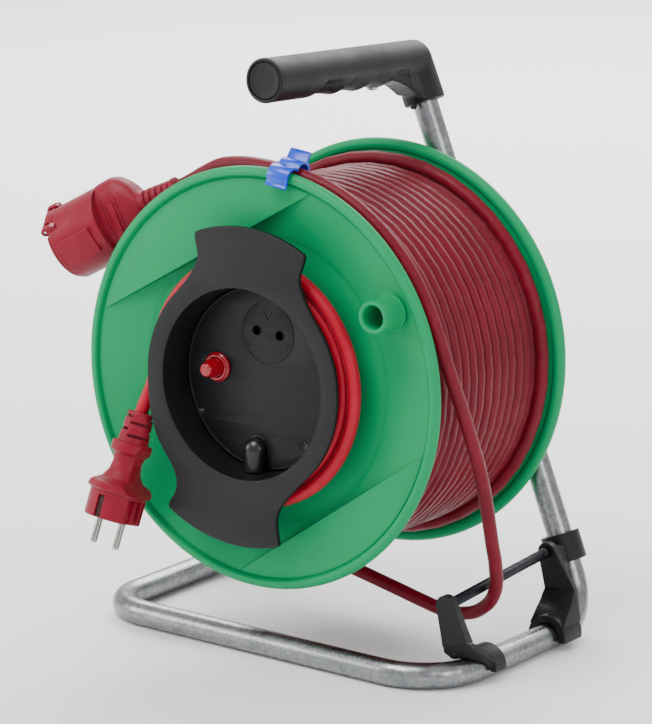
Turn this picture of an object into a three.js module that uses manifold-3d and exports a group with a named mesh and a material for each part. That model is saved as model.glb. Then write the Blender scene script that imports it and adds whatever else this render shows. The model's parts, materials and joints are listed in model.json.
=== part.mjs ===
// Extension cord reel: bent steel tube stand, free-turning drum, rigid hub for a short plug lead,
// cable guide at the lower right, connector on the free cable end.
// Units mm, +Z up, front faces -Y, drum axis along Y.
import * as THREE from 'three';
import Module from 'manifold-3d';

const wasm = await Module();
wasm.setup();

// ---------- driving dimensions (axle frame: origin on the drum axis, in the plane of the front rim) ----------
const AXLE_H = 194;          // axle above the floor
const R_FL = 145;            // flange radius
const SEP = 156;             // front rim to rear rim
const BEAD = 4;              // half width of the rolled rim
const R_BAR = 104;           // winding barrel radius
const TUBE_R = 9;            // stand tube
const TUBE_T = 1.6;          // stand tube wall
const BX = 152;              // base half width, tube centre
const BYF = -10;             // front base tube
const BYR = 178;             // plane of the upright and the leg
const ZB = -AXLE_H + TUBE_R; // base tube centre height
const LEAN = 0.39;           // upright leans left by this per mm of height
const GRIP_Z = 197;          // tube height inside the grip, rear
const CORD_D = 9.4;          // both cables
const GAP = 0.3;

const COL = {
  green: [0x2faa6e, 0.45, 0], greenD: [0x279a62, 0.5, 0], black: [0x2e2e31, 0.6, 0], red: [0x96303c, 0.6, 0],
  redB: [0xc42c38, 0.5, 0], zinc: [0x9aa0a3, 0.4, 0.9], steel: [0xb9bcbf, 0.3, 1.0], blue: [0x3d86e6, 0.45, 0],
  capred: [0xa83240, 0.3, 0], nickel: [0xc9c6bd, 0.25, 1.0], white: [0xe6e2d6, 0.5, 0], bronze: [0xb08d57, 0.45, 1.0], rod: [0x3b4148, 0.35, 0],
};
const root = new THREE.Group();
root.name = 'extension_cord_reel';
function put(name, geo, col) {
  const c = COL[col];
  const m = new THREE.Mesh(geo, new THREE.MeshStandardMaterial({ color: c[0], roughness: c[1], metalness: c[2] }));
  m.name = name;
  root.add(m);
  return m;
}

// ---------- solid helpers ----------
const V = (x, y, z) => new THREE.Vector3(x, y, z);
function mfd(vert, tri) {
  return new wasm.Manifold(new wasm.Mesh({ numProp: 3, vertProperties: new Float32Array(vert), triVerts: new Uint32Array(tri) }));
}
function fromGeo(geo) {
  const g = geo.clone();
  g.deleteAttribute('normal'); g.deleteAttribute('uv');
  const p = g.attributes.position, map = new Map(), verts = [], ids = [];
  for (let i = 0; i < p.count; i++) {
    const k = [p.getX(i), p.getY(i), p.getZ(i)].map((v) => Math.round(v * 1e4)).join(',');
    if (!map.has(k)) { map.set(k, verts.length / 3); verts.push(p.getX(i), p.getY(i), p.getZ(i)); }
    ids.push(map.get(k));
  }
  const src = g.index ? Array.from(g.index.array) : Array.from({ length: p.count }, (_, i) => i);
  const tri = [];
  for (let i = 0; i < src.length; i += 3) {
    const a = ids[src[i]], b = ids[src[i + 1]], c = ids[src[i + 2]];
    if (a !== b && b !== c && a !== c) tri.push(a, b, c);
  }
  return mfd(verts, tri);
}
function toGeo(m0) {
  const m = m0.simplify(0.03);
  const me = m.getMesh();
  const g = new THREE.BufferGeometry();
  const np = me.numProp, n = me.vertProperties.length / np;
  const pos = new Float32Array(n * 3);
  for (let i = 0; i < n; i++) for (let k = 0; k < 3; k++) pos[3 * i + k] = me.vertProperties[np * i + k];
  g.setAttribute('position', new THREE.BufferAttribute(pos, 3));
  g.setIndex(Array.from(me.triVerts));
  g.computeVertexNormals();
  return g;
}
// body of revolution about Y; profile [r, y] closed loop, either side of the axis allowed at r = 0
function lathe(prof, segs = 24) {
  const P = prof.map(([r, y]) => new THREE.Vector2(r, y));
  let area = 0;
  for (let i = 0; i < P.length; i++) { const a = P[i], b = P[(i + 1) % P.length]; area += a.x * b.y - b.x * a.y; }
  if (area < 0) P.reverse();
  const closedOnAxis = P.some((p) => p.x === 0);
  if (closedOnAxis) {
    // start and end on the axis
    let i0 = P.findIndex((p, i) => p.x === 0 && P[(i + 1) % P.length].x > 0);
    const Q = []; for (let k = 0; k < P.length; k++) Q.push(P[(i0 + k) % P.length]);
    return fromGeo(new THREE.LatheGeometry(Q, segs));
  }
  return fromGeo(new THREE.LatheGeometry([...P, P[0].clone()], segs));
}
// outline in X-Z, from y0 to y1
function prism(pts, y0, y1) {
  const s = new THREE.Shape(pts.map(([x, z]) => new THREE.Vector2(x, z)));
  const g = new THREE.ExtrudeGeometry(s, { depth: y1 - y0, bevelEnabled: false, steps: 1 });
  g.rotateX(Math.PI / 2); g.translate(0, y1, 0);
  return fromGeo(g);
}
function box(x0, x1, y0, y1, z0, z1) {
  const g = new THREE.BoxGeometry(x1 - x0, y1 - y0, z1 - z0);
  g.translate((x0 + x1) / 2, (y0 + y1) / 2, (z0 + z1) / 2);
  return fromGeo(g);
}
// ring of radii along a path; rad(i, angle, u) gives the local radius; hollow when rin > 0
function frames(path, up0, from = 0) {
  const T = path.map((p, i) => {
    const a = path[Math.max(0, i - 1)], b = path[Math.min(path.length - 1, i + 1)];
    return b.clone().sub(a).normalize();
  });
  const out = [], first = up0.clone().sub(T[from].clone().multiplyScalar(up0.dot(T[from]))).normalize();
  for (const step of [1, -1]) {
    let n = first.clone();
    for (let i = from; i >= 0 && i < T.length; i += step) {
      n = n.clone().sub(T[i].clone().multiplyScalar(n.dot(T[i]))).normalize();
      out[i] = [n, T[i].clone().cross(n)];
    }
  }
  return out;
}
function sweep(path, rad, sides, up0 = V(0, 0, 1), phase = 0, from = 0) {
  const F = frames(path, up0, from), v = [], t = [];
  path.forEach((p, i) => {
    for (let k = 0; k < sides; k++) {
      const a = phase + 2 * Math.PI * k / sides, r = typeof rad === 'function' ? rad(i, a) : rad;
      v.push(p.x + r * (Math.cos(a) * F[i][0].x + Math.sin(a) * F[i][1].x),
             p.y + r * (Math.cos(a) * F[i][0].y + Math.sin(a) * F[i][1].y),
             p.z + r * (Math.cos(a) * F[i][0].z + Math.sin(a) * F[i][1].z));
    }
  });
  const n = path.length;
  for (let i = 0; i < n - 1; i++) for (let k = 0; k < sides; k++) {
    const a = i * sides + k, b = i * sides + (k + 1) % sides, c = a + sides, d = b + sides;
    t.push(a, b, d, a, d, c);
  }
  for (let k = 1; k < sides - 1; k++) { t.push(0, k + 1, k); t.push((n - 1) * sides, (n - 1) * sides + k, (n - 1) * sides + k + 1); }
  return mfd(v, t);
}
function cyl(a, b, r, sides = 20, r2) {
  const A = V(...a), B = V(...b);
  const up = Math.abs(B.clone().sub(A).normalize().z) > 0.9 ? V(0, 1, 0) : V(0, 0, 1);
  return sweep([A, B], (i) => (i ? (r2 ?? r) : r), sides, up, Math.PI / sides);
}
// place a solid built on the local Y axis so that local +Y runs along dir from the point at
function along(m, at, dir, ref = V(0, 0, 1)) {
  const y = V(...dir).normalize(), x = y.clone().cross(ref).normalize(), z = x.clone().cross(y);
  const M = new THREE.Matrix4().makeBasis(x, y, z).setPosition(...at);
  return m.transform(Array.from(M.elements));
}
// round the corners of a polyline
function fillet(pts, rs, n = 6) {
  const out = [pts[0]];
  for (let i = 1; i < pts.length - 1; i++) {
    const p = pts[i], u = pts[i - 1].clone().sub(p).normalize(), w = pts[i + 1].clone().sub(p).normalize();
    const half = Math.acos(THREE.MathUtils.clamp(u.dot(w), -1, 1)) / 2, r = rs[i - 1], d = r / Math.tan(half);
    const c = p.clone().add(u.clone().add(w).normalize().multiplyScalar(r / Math.sin(half)));
    const s = p.clone().add(u.multiplyScalar(d)).sub(c), e = p.clone().add(w.multiplyScalar(d)).sub(c);
    const ang = s.angleTo(e);
    for (let k = 0; k <= n; k++) {
      const f = k / n;
      out.push(c.clone().add(s.clone().multiplyScalar(Math.sin((1 - f) * ang) / Math.sin(ang))).add(e.clone().multiplyScalar(Math.sin(f * ang) / Math.sin(ang))));
    }
  }
  out.push(pts[pts.length - 1]);
  return out;
}
const SEG = 36, SEGS = 24;
const arc = (cx, cy, r, a0, a1, n) => Array.from({ length: n + 1 }, (_, i) => {
  const a = (a0 + (a1 - a0) * i / n) * Math.PI / 180; return [cx + r * Math.cos(a), cy + r * Math.sin(a)];
});

// ================= stand =================
const upX = (z) => BX - LEAN * (z - ZB);
const topC = V(upX(GRIP_Z), BYR, GRIP_Z);
const GRIP_DIR = V(0, -1, 0.03).normalize();
const gripEnd = topC.clone().add(GRIP_DIR.clone().multiplyScalar(156));
const LU = V(BX, 0, -ZB).normalize();            // leg direction through the axle
const LEG_T = 70;                                // leg end beyond the axle
const legEnd = V(LU.x * LEG_T, BYR, LU.z * LEG_T);
const BLX = -148, BLY = 14;      // front left corner of the base, a little behind the right one
const corners = [gripEnd, topC, V(BX, BYR, ZB), V(BX, BYF, ZB), V(BLX, BLY, ZB), V(-BX, BYR, ZB), legEnd];
const tubePath = fillet(corners, [26, 34, 42, 42, 34], 4);
const MIDB = tubePath.findIndex((p) => Math.abs(p.z - ZB) < 0.01 && Math.abs((p.y - BYF) * (BLX - BX) - (p.x - BX) * (BLY - BYF)) < 3); // first station on the front base tube
{
  const side = 10, ph = Math.PI / side;
  const full = sweep(tubePath, TUBE_R / Math.cos(ph), side, V(0, 0, 1), ph, MIDB);
  const p2 = tubePath.map((p) => p.clone());
  const e0 = p2[0].clone().sub(p2[1]).normalize(), e1 = p2[p2.length - 1].clone().sub(p2[p2.length - 2]).normalize();
  p2[0].add(e0.multiplyScalar(1)); p2[p2.length - 1].add(e1.multiplyScalar(1));
  const inner = sweep(p2, (TUBE_R - TUBE_T) / Math.cos(ph), side, V(0, 0, 1), ph, MIDB);
  const t = full.subtract(inner).subtract(cyl([0, BYR - 15, 0], [0, BYR + 15, 0], 6.7, 12));
  put('frame_tube', toGeo(t), 'zinc');
}
// cross clamp joining the leg end to the upright
const JT = (BX + LEAN * ZB) / (LU.x + LEAN * LU.z);
const J = V(LU.x * JT, BYR, LU.z * JT), UD = V(-LEAN, 0, 1).normalize();
{
  const a = (p, d, s) => [p.x + d.x * s, p.y + d.y * s, p.z + d.z * s];
  const O = V(0, BYR, 0);
  let c = cyl(a(O, LU, LEG_T - 16), a(O, LU, JT), 12.2, 16).add(cyl(a(J, UD, -14), a(J, UD, 14), 12.4, 20));
  c = c.subtract(cyl(a(O, LU, 20), a(O, LU, LEG_T + 0.6), 9.75, 16)).subtract(cyl(a(J, UD, -30), a(J, UD, 30), 9.75, 20));
  c = c.subtract(cyl([J.x - LU.x * 24, BYR - 20, J.z - LU.z * 24], [J.x - LU.x * 24, BYR - 9, J.z - LU.z * 24], 2.9, 12));
  put('leg_clamp', toGeo(c), 'black');
}
put('leg_clamp_screw', toGeo(cyl([J.x - LU.x * 24, BYR - 15.8, J.z - LU.z * 24], [J.x - LU.x * 24, BYR - 12.6, J.z - LU.z * 24], 4.4, 14)
  .add(cyl([J.x - LU.x * 24, BYR - 12.7, J.z - LU.z * 24], [J.x - LU.x * 24, BYR - 9.6, J.z - LU.z * 24], 2.5, 10))), 'steel');

// ================= grip =================
{
  const e = V(topC.x, BYR, GRIP_Z);
  const low = V(upX(170), BYR, 170);
  const front = topC.clone().add(GRIP_DIR.clone().multiplyScalar(177));
  const gp = fillet([low, e, front], [20], 4);
  // denser stations on the straight run for the finger hollows
  const last = gp.pop(), st = gp[gp.length - 1], pts = [...gp];
  const N = 14; for (let i = 1; i <= N; i++) pts.push(st.clone().lerp(last, i / N));
  const L = pts.map((p) => p.y);
  const body = sweep(pts, (i, a) => {
    const y = L[i];
    let r = i === 0 ? 15 : 14.9;
    const down = Math.max(0, -Math.cos(a));
    if (y < 140 && y > 46) r -= 1.5 * down * down * (0.5 + 0.5 * Math.cos((y - 58) / 21.5 * 2 * Math.PI));
    if (y > 130) r += 2.2 * Math.max(0, Math.sin((y - 130) / 48 * Math.PI)) * down;
    return r;
  }, 14, V(0, -1, 0.01), 0);
  const bore = fillet([V(upX(150), BYR, 150), topC, topC.clone().add(GRIP_DIR.clone().multiplyScalar(180))], [26], 4);
  let g = body.subtract(sweep(bore, (TUBE_R + 0.7) / Math.cos(Math.PI / 10), 10, V(0, -1, 0.01), Math.PI / 10));
  const f = front, d = GRIP_DIR;
  g = g.subtract(cyl([f.x, f.y - d.y * 2.2, f.z - d.z * 2.2], [f.x, f.y + d.y * 5, f.z + d.z * 5], 12.9, 16));
  // screw hole from below near the bend
  g = g.subtract(cyl([topC.x, 128, GRIP_Z - 22], [topC.x, 128, GRIP_Z - 8], 2.6, 10)).subtract(cyl([topC.x, 128, GRIP_Z - 22], [topC.x, 128, GRIP_Z - 12.6], 4.6, 12));
  put('handle_grip', toGeo(g), 'black');
  const cap = cyl([f.x, f.y - d.y * 1.9, f.z - d.z * 1.9], [f.x, f.y, f.z], 12.4, 16)
    .add(cyl([f.x, f.y - d.y * 14, f.z - d.z * 14], [f.x, f.y - d.y * 1.5, f.z - d.z * 1.5], 8.8, 10));
  put('handle_end_cap', toGeo(cap), 'black');
  put('handle_screw', toGeo(cyl([topC.x, 128, GRIP_Z - 14.6], [topC.x, 128, GRIP_Z - 12.9], 4.1, 12).add(cyl([topC.x, 128, GRIP_Z - 13], [topC.x, 128, GRIP_Z - 8.6], 2.2, 10))), 'steel');
}

// ================= axle =================
put('axle_bolt', toGeo(lathe([[0, 26], [9, 26], [10, 27.5], [10, 32], [6, 32], [6, 198.4], [5, 199.4], [0, 199.4]], 16)), 'steel');
put('axle_washer_front', toGeo(lathe([[6.5, 32.3], [14, 32.3], [14, 34.2], [6.5, 34.2]], 16)), 'steel');
put('axle_spacer', toGeo(lathe([[6.5, 163.3], [10.5, 163.3], [10.5, 168.5], [6.5, 168.5]], 16)), 'black');
put('axle_washer_rear', toGeo(lathe([[6.5, 187.8], [12, 187.8], [12, 189.8], [6.5, 189.8]], 16)), 'steel');
{
  const hex = Array.from({ length: 6 }, (_, i) => [10.9 * Math.cos(i * Math.PI / 3), 10.9 * Math.sin(i * Math.PI / 3)]);
  put('axle_nut', toGeo(prism(hex, 190.1, 197.4).subtract(cyl([0, 185, 0], [0, 205, 0], 6.5, 12))), 'steel');
}

// ================= drum =================
const yF = (r) => -1 + (137 - r) * 7 / 37;      // front face of the front web
const yRi = (r) => SEP - 1.6 - (137 - r) * 5 / 37; // inner face of the rear web
const bead = (yc, s) => arc(R_FL - 4.2, yc, 4.2, -90, 90, 6).map(([r, y]) => [r, s > 0 ? y : 2 * yc - y]);
const KN = [106.7, 58.2];                        // crank knob axis
const PSC = [[-52.4, -29.1], [34.1, -42.4], [42.4, 42.4]]; // hub plate screws
const SCR = [30, 150, 270].map((d) => [84 * Math.cos(d * Math.PI / 180), 84 * Math.sin(d * Math.PI / 180)]);
{
  const prof = [
    ...arc(R_FL - 4.2, 0, 4.2, -90, 90, 4), [137.2, 3.4], [137, yF(137) + 2.6], [R_BAR + 1, yF(R_BAR) + 3.0], [R_BAR, yF(R_BAR) + 5], [R_BAR, 77.8], [R_BAR - 2.6, 77.8],
    [R_BAR - 2.6, 42], [15, 42], [15, 50], [10.4, 50], [10.4, 37], [15, 37], [R_BAR - 2.6, 39.2],
    [R_BAR - 2.6, 10], [50, 10], [50, 7.2], [98, 7.2], [100, yF(100)], [137, yF(137)], [137.4, -3.4]];
  let d = lathe(prof, SEG);
  // two flat segments level with the rim
  const fill = lathe([[138.2, -1.2], [86, -1.2], [86, yF(86) + 1.5], [100, yF(100) + 1.2], [138.2, yF(137) + 1.2]], SEG);
  const chord = (ang, dist) => {
    const a = ang * Math.PI / 180, n = [Math.cos(a), Math.sin(a)], t = [-Math.sin(a), Math.cos(a)];
    const P = (u, v) => [n[0] * u + t[0] * v, n[1] * u + t[1] * v];
    return prism([P(dist, -160), P(dist, 160), P(170, 160), P(170, -160)], -3, 12);
  };
  d = d.add(fill.intersect(chord(119, 93.5))).add(fill.intersect(chord(-56, 103)));
  // knob seat and screw pads
  const ahead = lathe([[95, -1], [137, -1], [137, yF(137) + 1.5], [100, yF(100) + 1.5], [95, yF(100) + 1.5]], SEG);
  d = d.add(cyl([KN[0], -0.3, KN[1]], [KN[0], 9, KN[1]], 13.5, 16).intersect(ahead));
  for (const [x, z] of PSC) d = d.subtract(cyl([x, 5, z], [x, 12, z], 2.0, 8));
  d = d.subtract(cyl([KN[0], -3, KN[1]], [KN[0], 4.2, KN[1]], 2.7, 8));
  for (const [x, z] of SCR) d = d.add(cyl([x, 40, z], [x, 77.6, z], 6, 8)).subtract(cyl([x, 60, z], [x, 90, z], 2.1, 6));
  put('drum_front', toGeo(d), 'green');
}
{
  const prof = [
    ...arc(R_FL - 4.2, SEP, 4.2, -90, 90, 4), [137.2, SEP + 3.4], [137, yRi(137) + 2.6], [30, yRi(104) + 2.9], [14.5, yRi(104) + 2.9], [14.5, 162.8], [10.4, 162.8], [10.4, 136],
    [15, 136], [15, yRi(104)], [R_BAR - 2.6, yRi(104)], [R_BAR - 2.6, 78.2], [R_BAR, 78.2], [R_BAR, yRi(104)], [137, yRi(137)], [137.4, SEP - 3.4]];
  let d = lathe(prof, SEG);
  for (const [x, z] of SCR) d = d.add(cyl([x, 78.3, z], [x, 151, z], 6, 8)).subtract(cyl([x, 70, z], [x, 170, z], 2.5, 6)).subtract(cyl([x, 146, z], [x, 170, z], 4.8, 8));
  put('drum_rear', toGeo(d), 'green');
  SCR.forEach(([x, z], i) => put('drum_screw_' + (i + 1), toGeo(cyl([x, 66, z], [x, 146.5, z], 1.7, 6).add(cyl([x, 145.7 + 0.8, z], [x, 149, z], 4.2, 10))), 'steel'));
}
put('bush_front', toGeo(lathe([[6.5, 34.8], [13, 34.8], [13, 36.6], [10, 36.6], [10, 51], [6.5, 51]], 16)), 'bronze');
put('bush_rear', toGeo(lathe([[6.5, 135], [10, 135], [10, 161.5], [6.5, 161.5]], 16)), 'bronze');

// ---------- crank knob ----------
put('crank_knob', toGeo((() => {
  const k = lathe([[3.4, -0.7], [12.4, -0.7], [12.4, -2.4], [11.3, -4.2], [10.7, -8], [10.9, -22.3], [10.2, -23], [8.6, -23], [8, -22.3], [7.8, -5], [3.4, -5]], 20);
  return k.translate([KN[0], 0, KN[1]]);
})()), 'green');
put('knob_screw', toGeo(lathe([[0, -8.4], [4.5, -8.4], [6, -7.2], [6, -5.4], [2.9, -5.4], [2.9, -0.5], [2.2, -0.5], [2.2, 3.6], [0, 3.6]], 10).translate([KN[0], 0, KN[1]])), 'steel');

// ---------- hub: winding body for the short lead, with two cleats ----------
const HUB_F = -23, HUB_IN = 66.3, HUB_OUT = 78.7;
{
  let h = lathe([[HUB_IN, HUB_F], [HUB_OUT - 1, HUB_F], [HUB_OUT, HUB_F + 1], [HUB_OUT, HUB_F + 3.6], [68, HUB_F + 3.6], [68, 6.9], [62.1, 6.9], [62.1, 6.1], [63.8, 6.1]], SEG);
  // each cleat: its outer radius, and the radius and angle of each point down its two flanks
  const lug = (mid, R, left, right) => {
    const m = mid * Math.PI / 180, P = (r, deg) => { const a = m + deg * Math.PI / 180; return [r * Math.cos(a), r * Math.sin(a)]; };
    const pts = [P(71, -right[0][1]), ...right.map(([r, o]) => P(r, -o))];
    for (let i = 0; i <= 6; i++) pts.push(P(R, -23 + 46 * i / 6));
    pts.push(...left.slice().reverse().map(([r, o]) => P(r, o)));
    const from = left[0][1], n = Math.ceil((from + right[0][1]) / 8);
    for (let i = 0; i < n; i++) pts.push(P(71, from - (from + right[0][1]) * i / n));
    return prism(pts, HUB_F, HUB_F + 3.6);
  };
  const flank = [[78.2, 46], [79.6, 41], [81.6, 36.5], [84.4, 32.1], [88.4, 28.6], [93.2, 26.8], [98, 26.3], [103.6, 25.6], [106.2, 24.6]];
  h = h.add(lug(85.5, 107.4, flank, flank));
  h = h.add(lug(-98.8, 112, [[78.2, 47], [79.6, 43], [81, 39.2], [84.2, 33.7], [89.3, 28.8], [94.6, 26.8], [102.3, 25.6], [108.4, 25.2], [111, 24.2]],
    [[78.2, 75], [80, 66], [82.2, 57], [84.2, 47], [84.9, 40], [86, 34], [89.8, 29], [95.3, 26.4], [101.2, 25.4], [107.6, 25.4], [110.8, 24.4]]));
  h = h.subtract(cyl([-4.2, -7.5, -60], [-4.2, -7.5, -72], 5.1, 14)); // lead entry through the wall
  put('hub_cover', toGeo(h), 'black');
}
const RST = [-37.4, 3.5];
{
  let p = lathe([[0, 3], [62.8, 3], [62.8, 5.8], [0, 5.8]], SEG);
  for (const [x, z] of [[-5.1, 32.5], [14.0, 30.8]]) p = p.subtract(cyl([x, 0, z], [x, 9, z], 3.3, 10));
  p = p.subtract(cyl([RST[0], 0, RST[1]], [RST[0], 9, RST[1]], 7.5, 16));
  for (const [x, z] of PSC) p = p.subtract(cyl([x, 0, z], [x, 9, z], 2.1, 8)).subtract(cyl([x, 0, z], [x, 4.2, z], 4.2, 10));
  p = p.subtract(prism([[-7.6, -46], [-0.8, -46], [-0.8, -58], [-7.6, -58]], 0, 9));
  put('hub_plate', toGeo(p), 'black');
  PSC.forEach(([x, z], i) => put('plate_screw_' + (i + 1), toGeo(cyl([x, 3.4, z], [x, 3.9, z], 3.6, 10).add(cyl([x, 3.8, z], [x, 9.6, z], 1.6, 6))), 'steel'));
}
{
  // hood over the lead entry, open at the back and at the wall
  const out = (r, zc, zb) => [...arc(-4.2, zc, r, 0, 180, 10), [-4.2 - r, zb], [-4.2 + r, zb]];
  let h = prism(out(8, -49.8, -61.6), -9, 2.7).add(prism(out(6.6, -49.8, -61.6), -10.4, -8.9));
  h = h.subtract(prism(out(5.2, -49.8, -70), -7.6, 9)).intersect(lathe([[0, -12], [63.0, -12], [62.6, 4], [0, 4]], SEG));
  put('lead_entry_hood', toGeo(h), 'black');
}
put('reset_collar', toGeo(lathe([[7.2, 2.7], [10.2, 2.7], [10.2, 0.4], [9.4, -1], [7.2, -1]], 16).translate([RST[0], 0, RST[1]])), 'capred');
put('reset_button', toGeo(lathe([[0, -12.6], [4.6, -12.6], [6, -11.6], [6.4, -4], [6.9, -3], [6.9, 7.2], [0, 7.2]], 16).translate([RST[0], 0, RST[1]])), 'capred');
put('thermal_cutout', toGeo(box(RST[0] - 12, RST[0] + 12, 10.6, 26, RST[1] - 14, RST[1] + 14)
  .add(lathe([[7.3, 6.2], [9.6, 6.2], [9.6, 10.8], [7.3, 10.8]], 12).translate([RST[0], 0, RST[1]]))), 'black');
put('terminal_block', toGeo(box(-22, 10, 12, 27, -30, -18).subtract(cyl([-15, 5, -24], [-15, 22, -24], 2.4, 10)).subtract(cyl([-6, 5, -24], [-6, 22, -24], 2.4, 10)).subtract(cyl([3, 5, -24], [3, 22, -24], 2.4, 10))), 'white');
put('lead_anchor', toGeo(box(-14, 6, 10.6, 22.6, -57, -45).subtract(cyl([-4.2, 16.6, -60], [-4.2, 16.6, -40], 4.9, 10))), 'black');

// ================= cable guide =================
const RA = V(140, 19.6, -139.5), RB = V(137.2, 148.4, -132);   // roller ends
const RD = RB.clone().sub(RA).normalize();
put('guide_roller', toGeo(cyl(RA.toArray(), RB.toArray(), 3.6, 12)), 'rod');
const hull = (pts) => wasm.Manifold.hull(pts);
const boss = (x, z, r, y0, y1, n = 14) => Array.from({ length: 2 * n }, (_, i) => [x + r * Math.cos(2 * Math.PI * i / n), i < n ? y0 : y1, z + r * Math.sin(2 * Math.PI * i / n)]);
function saddle(y0, y1, ro) {
  // over-arm clip on the side tube, open below
  const c = cyl([BX, y0, ZB], [BX, y1, ZB], ro, 16).subtract(cyl([BX, y0 - 2, ZB], [BX, y1 + 2, ZB], TUBE_R + 0.9, 12));
  return c.subtract(box(BX - 30, BX + 30, y0 - 3, y1 + 3, ZB - 40, ZB - 3.2));
}
{
  // front bracket: wedge arm, flank running back and down, half clip over the tube
  const x = RA.x, z = RA.z;
  let b = hull([...boss(x, z, 7.2, 15.2, 20.6), [138.2, 15.4, -168], [138.2, 23, -170], [157.3, 15.4, -162.6], [157, 24, -164]]);
  b = b.add(hull([[138.6, 15.6, -168], [157.2, 15.6, -162.8], [157, 24, -164.2], [139, 16, -171.8], [143.8, 18, -175.6], [150.9, 40, -170.9], [160, 40, -173.6], [166, 40, -181], [163, 40, -186.4], [151, 24, -166]]));
  b = b.add(saddle(38, 51, 14.2));
  b = b.subtract(cyl([x - RD.x * 2.6, RA.y - RD.y * 2.6, z - RD.z * 2.6], [x + RD.x * 6, RA.y + RD.y * 6, z + RD.z * 6], 4.0, 16));
  b = b.subtract(cyl([BX, 30, ZB], [BX, 60, ZB], TUBE_R + 0.9, 12));
  b = b.subtract(sweep(tubePath, 9.5 / Math.cos(Math.PI / 10), 10, V(0, 0, 1), Math.PI / 10, MIDB));
  b = b.subtract(box(100, 190, 0, 60, -220, -186.6));
  put('guide_bracket_front', toGeo(b), 'black');
}
{
  // rear bracket: clamp on the upright, arm down to a half clip, hollowed in front
  const x = RB.x, z = RB.z;
  const uc = V(upX(-136), BYR, -136);
  const A = (s) => [uc.x + UD.x * s, uc.y, uc.z + UD.z * s];
  let b = cyl(A(-10), A(10), 13.8, 16);
  b = b.add(hull([...boss(x, z, 6.6, 147.2, 152.4), [136.8, 147.2, -159], [136.8, 152.4, -159], [160.4, 147.6, -156], [160, 152.6, -157]]));
  b = b.add(hull([[x - 3, 152, z + 4], [x + 5, 152, z + 4], [x + 13, 152, -150], [x - 1, 152, -150], [x - 2, 170, z + 1], [x + 3, 170, z + 1], [x + 6, 170, -146], [x, 170, -146]]));
  b = b.add(hull([[136.8, 147.2, -157], [160.4, 147.6, -155.6], [136.8, 152.4, -157], [160.2, 152.4, -156], [138.4, 125.2, -177], [165.6, 125.2, -177], [138.4, 147.6, -177], [165.6, 147.6, -177]]).subtract(cyl([110, 122, -146], [190, 122, -146], 25.6, 20)));
  b = b.add(saddle(125, 147.6, 14.8));
  b = b.subtract(cyl(A(-40), A(40), TUBE_R + 0.9, 12));
  b = b.subtract(cyl([BX, 100, ZB], [BX, 152, ZB], TUBE_R + 0.9, 12));
  b = b.subtract(box(uc.x - 7, uc.x + 7, BYR + 4, BYR + 30, -160, -110));
  b = b.subtract(cyl([RB.x - RD.x * 6, RB.y - RD.y * 6, RB.z - RD.z * 6], [RB.x + RD.x * 1.4, RB.y + RD.y * 1.4, RB.z + RD.z * 1.4], 4.0, 16));
  b = b.subtract(cyl([BX, 129, ZB], [BX, 129, ZB + 30], 1.8, 8));
  b = b.subtract(sweep(tubePath, 9.5 / Math.cos(Math.PI / 10), 10, V(0, 0, 1), Math.PI / 10, MIDB));
  put('guide_bracket_rear', toGeo(b), 'black');
}

// ================= clip on the rim, holding the cable =================
const CLIP_A = 82 * Math.PI / 180;
{
  // section in (y, r): over the rim bead, over the cable behind it, finger lip
  const th = 1.7;
  const line = [[-7.6, 134.6], [-5.9, 137.6], [-5.9, 142.5], [-4.4, 145.6], [-1.2, 147.2], [2.0, 147.0], [4.4, 145.8], [5.4, 147.4], [8.2, 149.9], [11.6, 149.9], [14.8, 148.3], [16.4, 145.4], [16.6, 141.0]];
  const N = line.map((p, i) => {
    const a = line[Math.max(0, i - 1)], b = line[Math.min(line.length - 1, i + 1)];
    const dx = b[0] - a[0], dy = b[1] - a[1], l = Math.hypot(dx, dy); return [-dy / l, dx / l];
  });
  const outer = line.map((p, i) => [p[0] + N[i][0] * th, p[1] + N[i][1] * th]);
  const lip = [[12.6, 150.9], [15.2, 155.6], [17.9, 157.8], [18.6, 156.4], [16.4, 153.6], [15.4, 149.6]];
  const sec = [...line, ...outer.reverse()];
  const W2 = 8.2;
  const mk = (s) => {
    const sh = new THREE.Shape(s.map(([y, r]) => new THREE.Vector2(y, r)));
    const g = new THREE.ExtrudeGeometry(sh, { depth: 2 * W2, bevelEnabled: false });
    // local: x = y axis of drum, y = radial, z = tangential
    g.translate(0, 0, -W2);
    const ca = Math.cos(CLIP_A), sa = Math.sin(CLIP_A);
    const M = new THREE.Matrix4().makeBasis(V(0, 1, 0), V(ca, 0, sa), V(sa, 0, -ca));
    g.applyMatrix4(M);
    return fromGeo(g);
  };
  put('cable_clip', toGeo(mk(sec).add(mk(lip))), 'blue');
}

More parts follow.
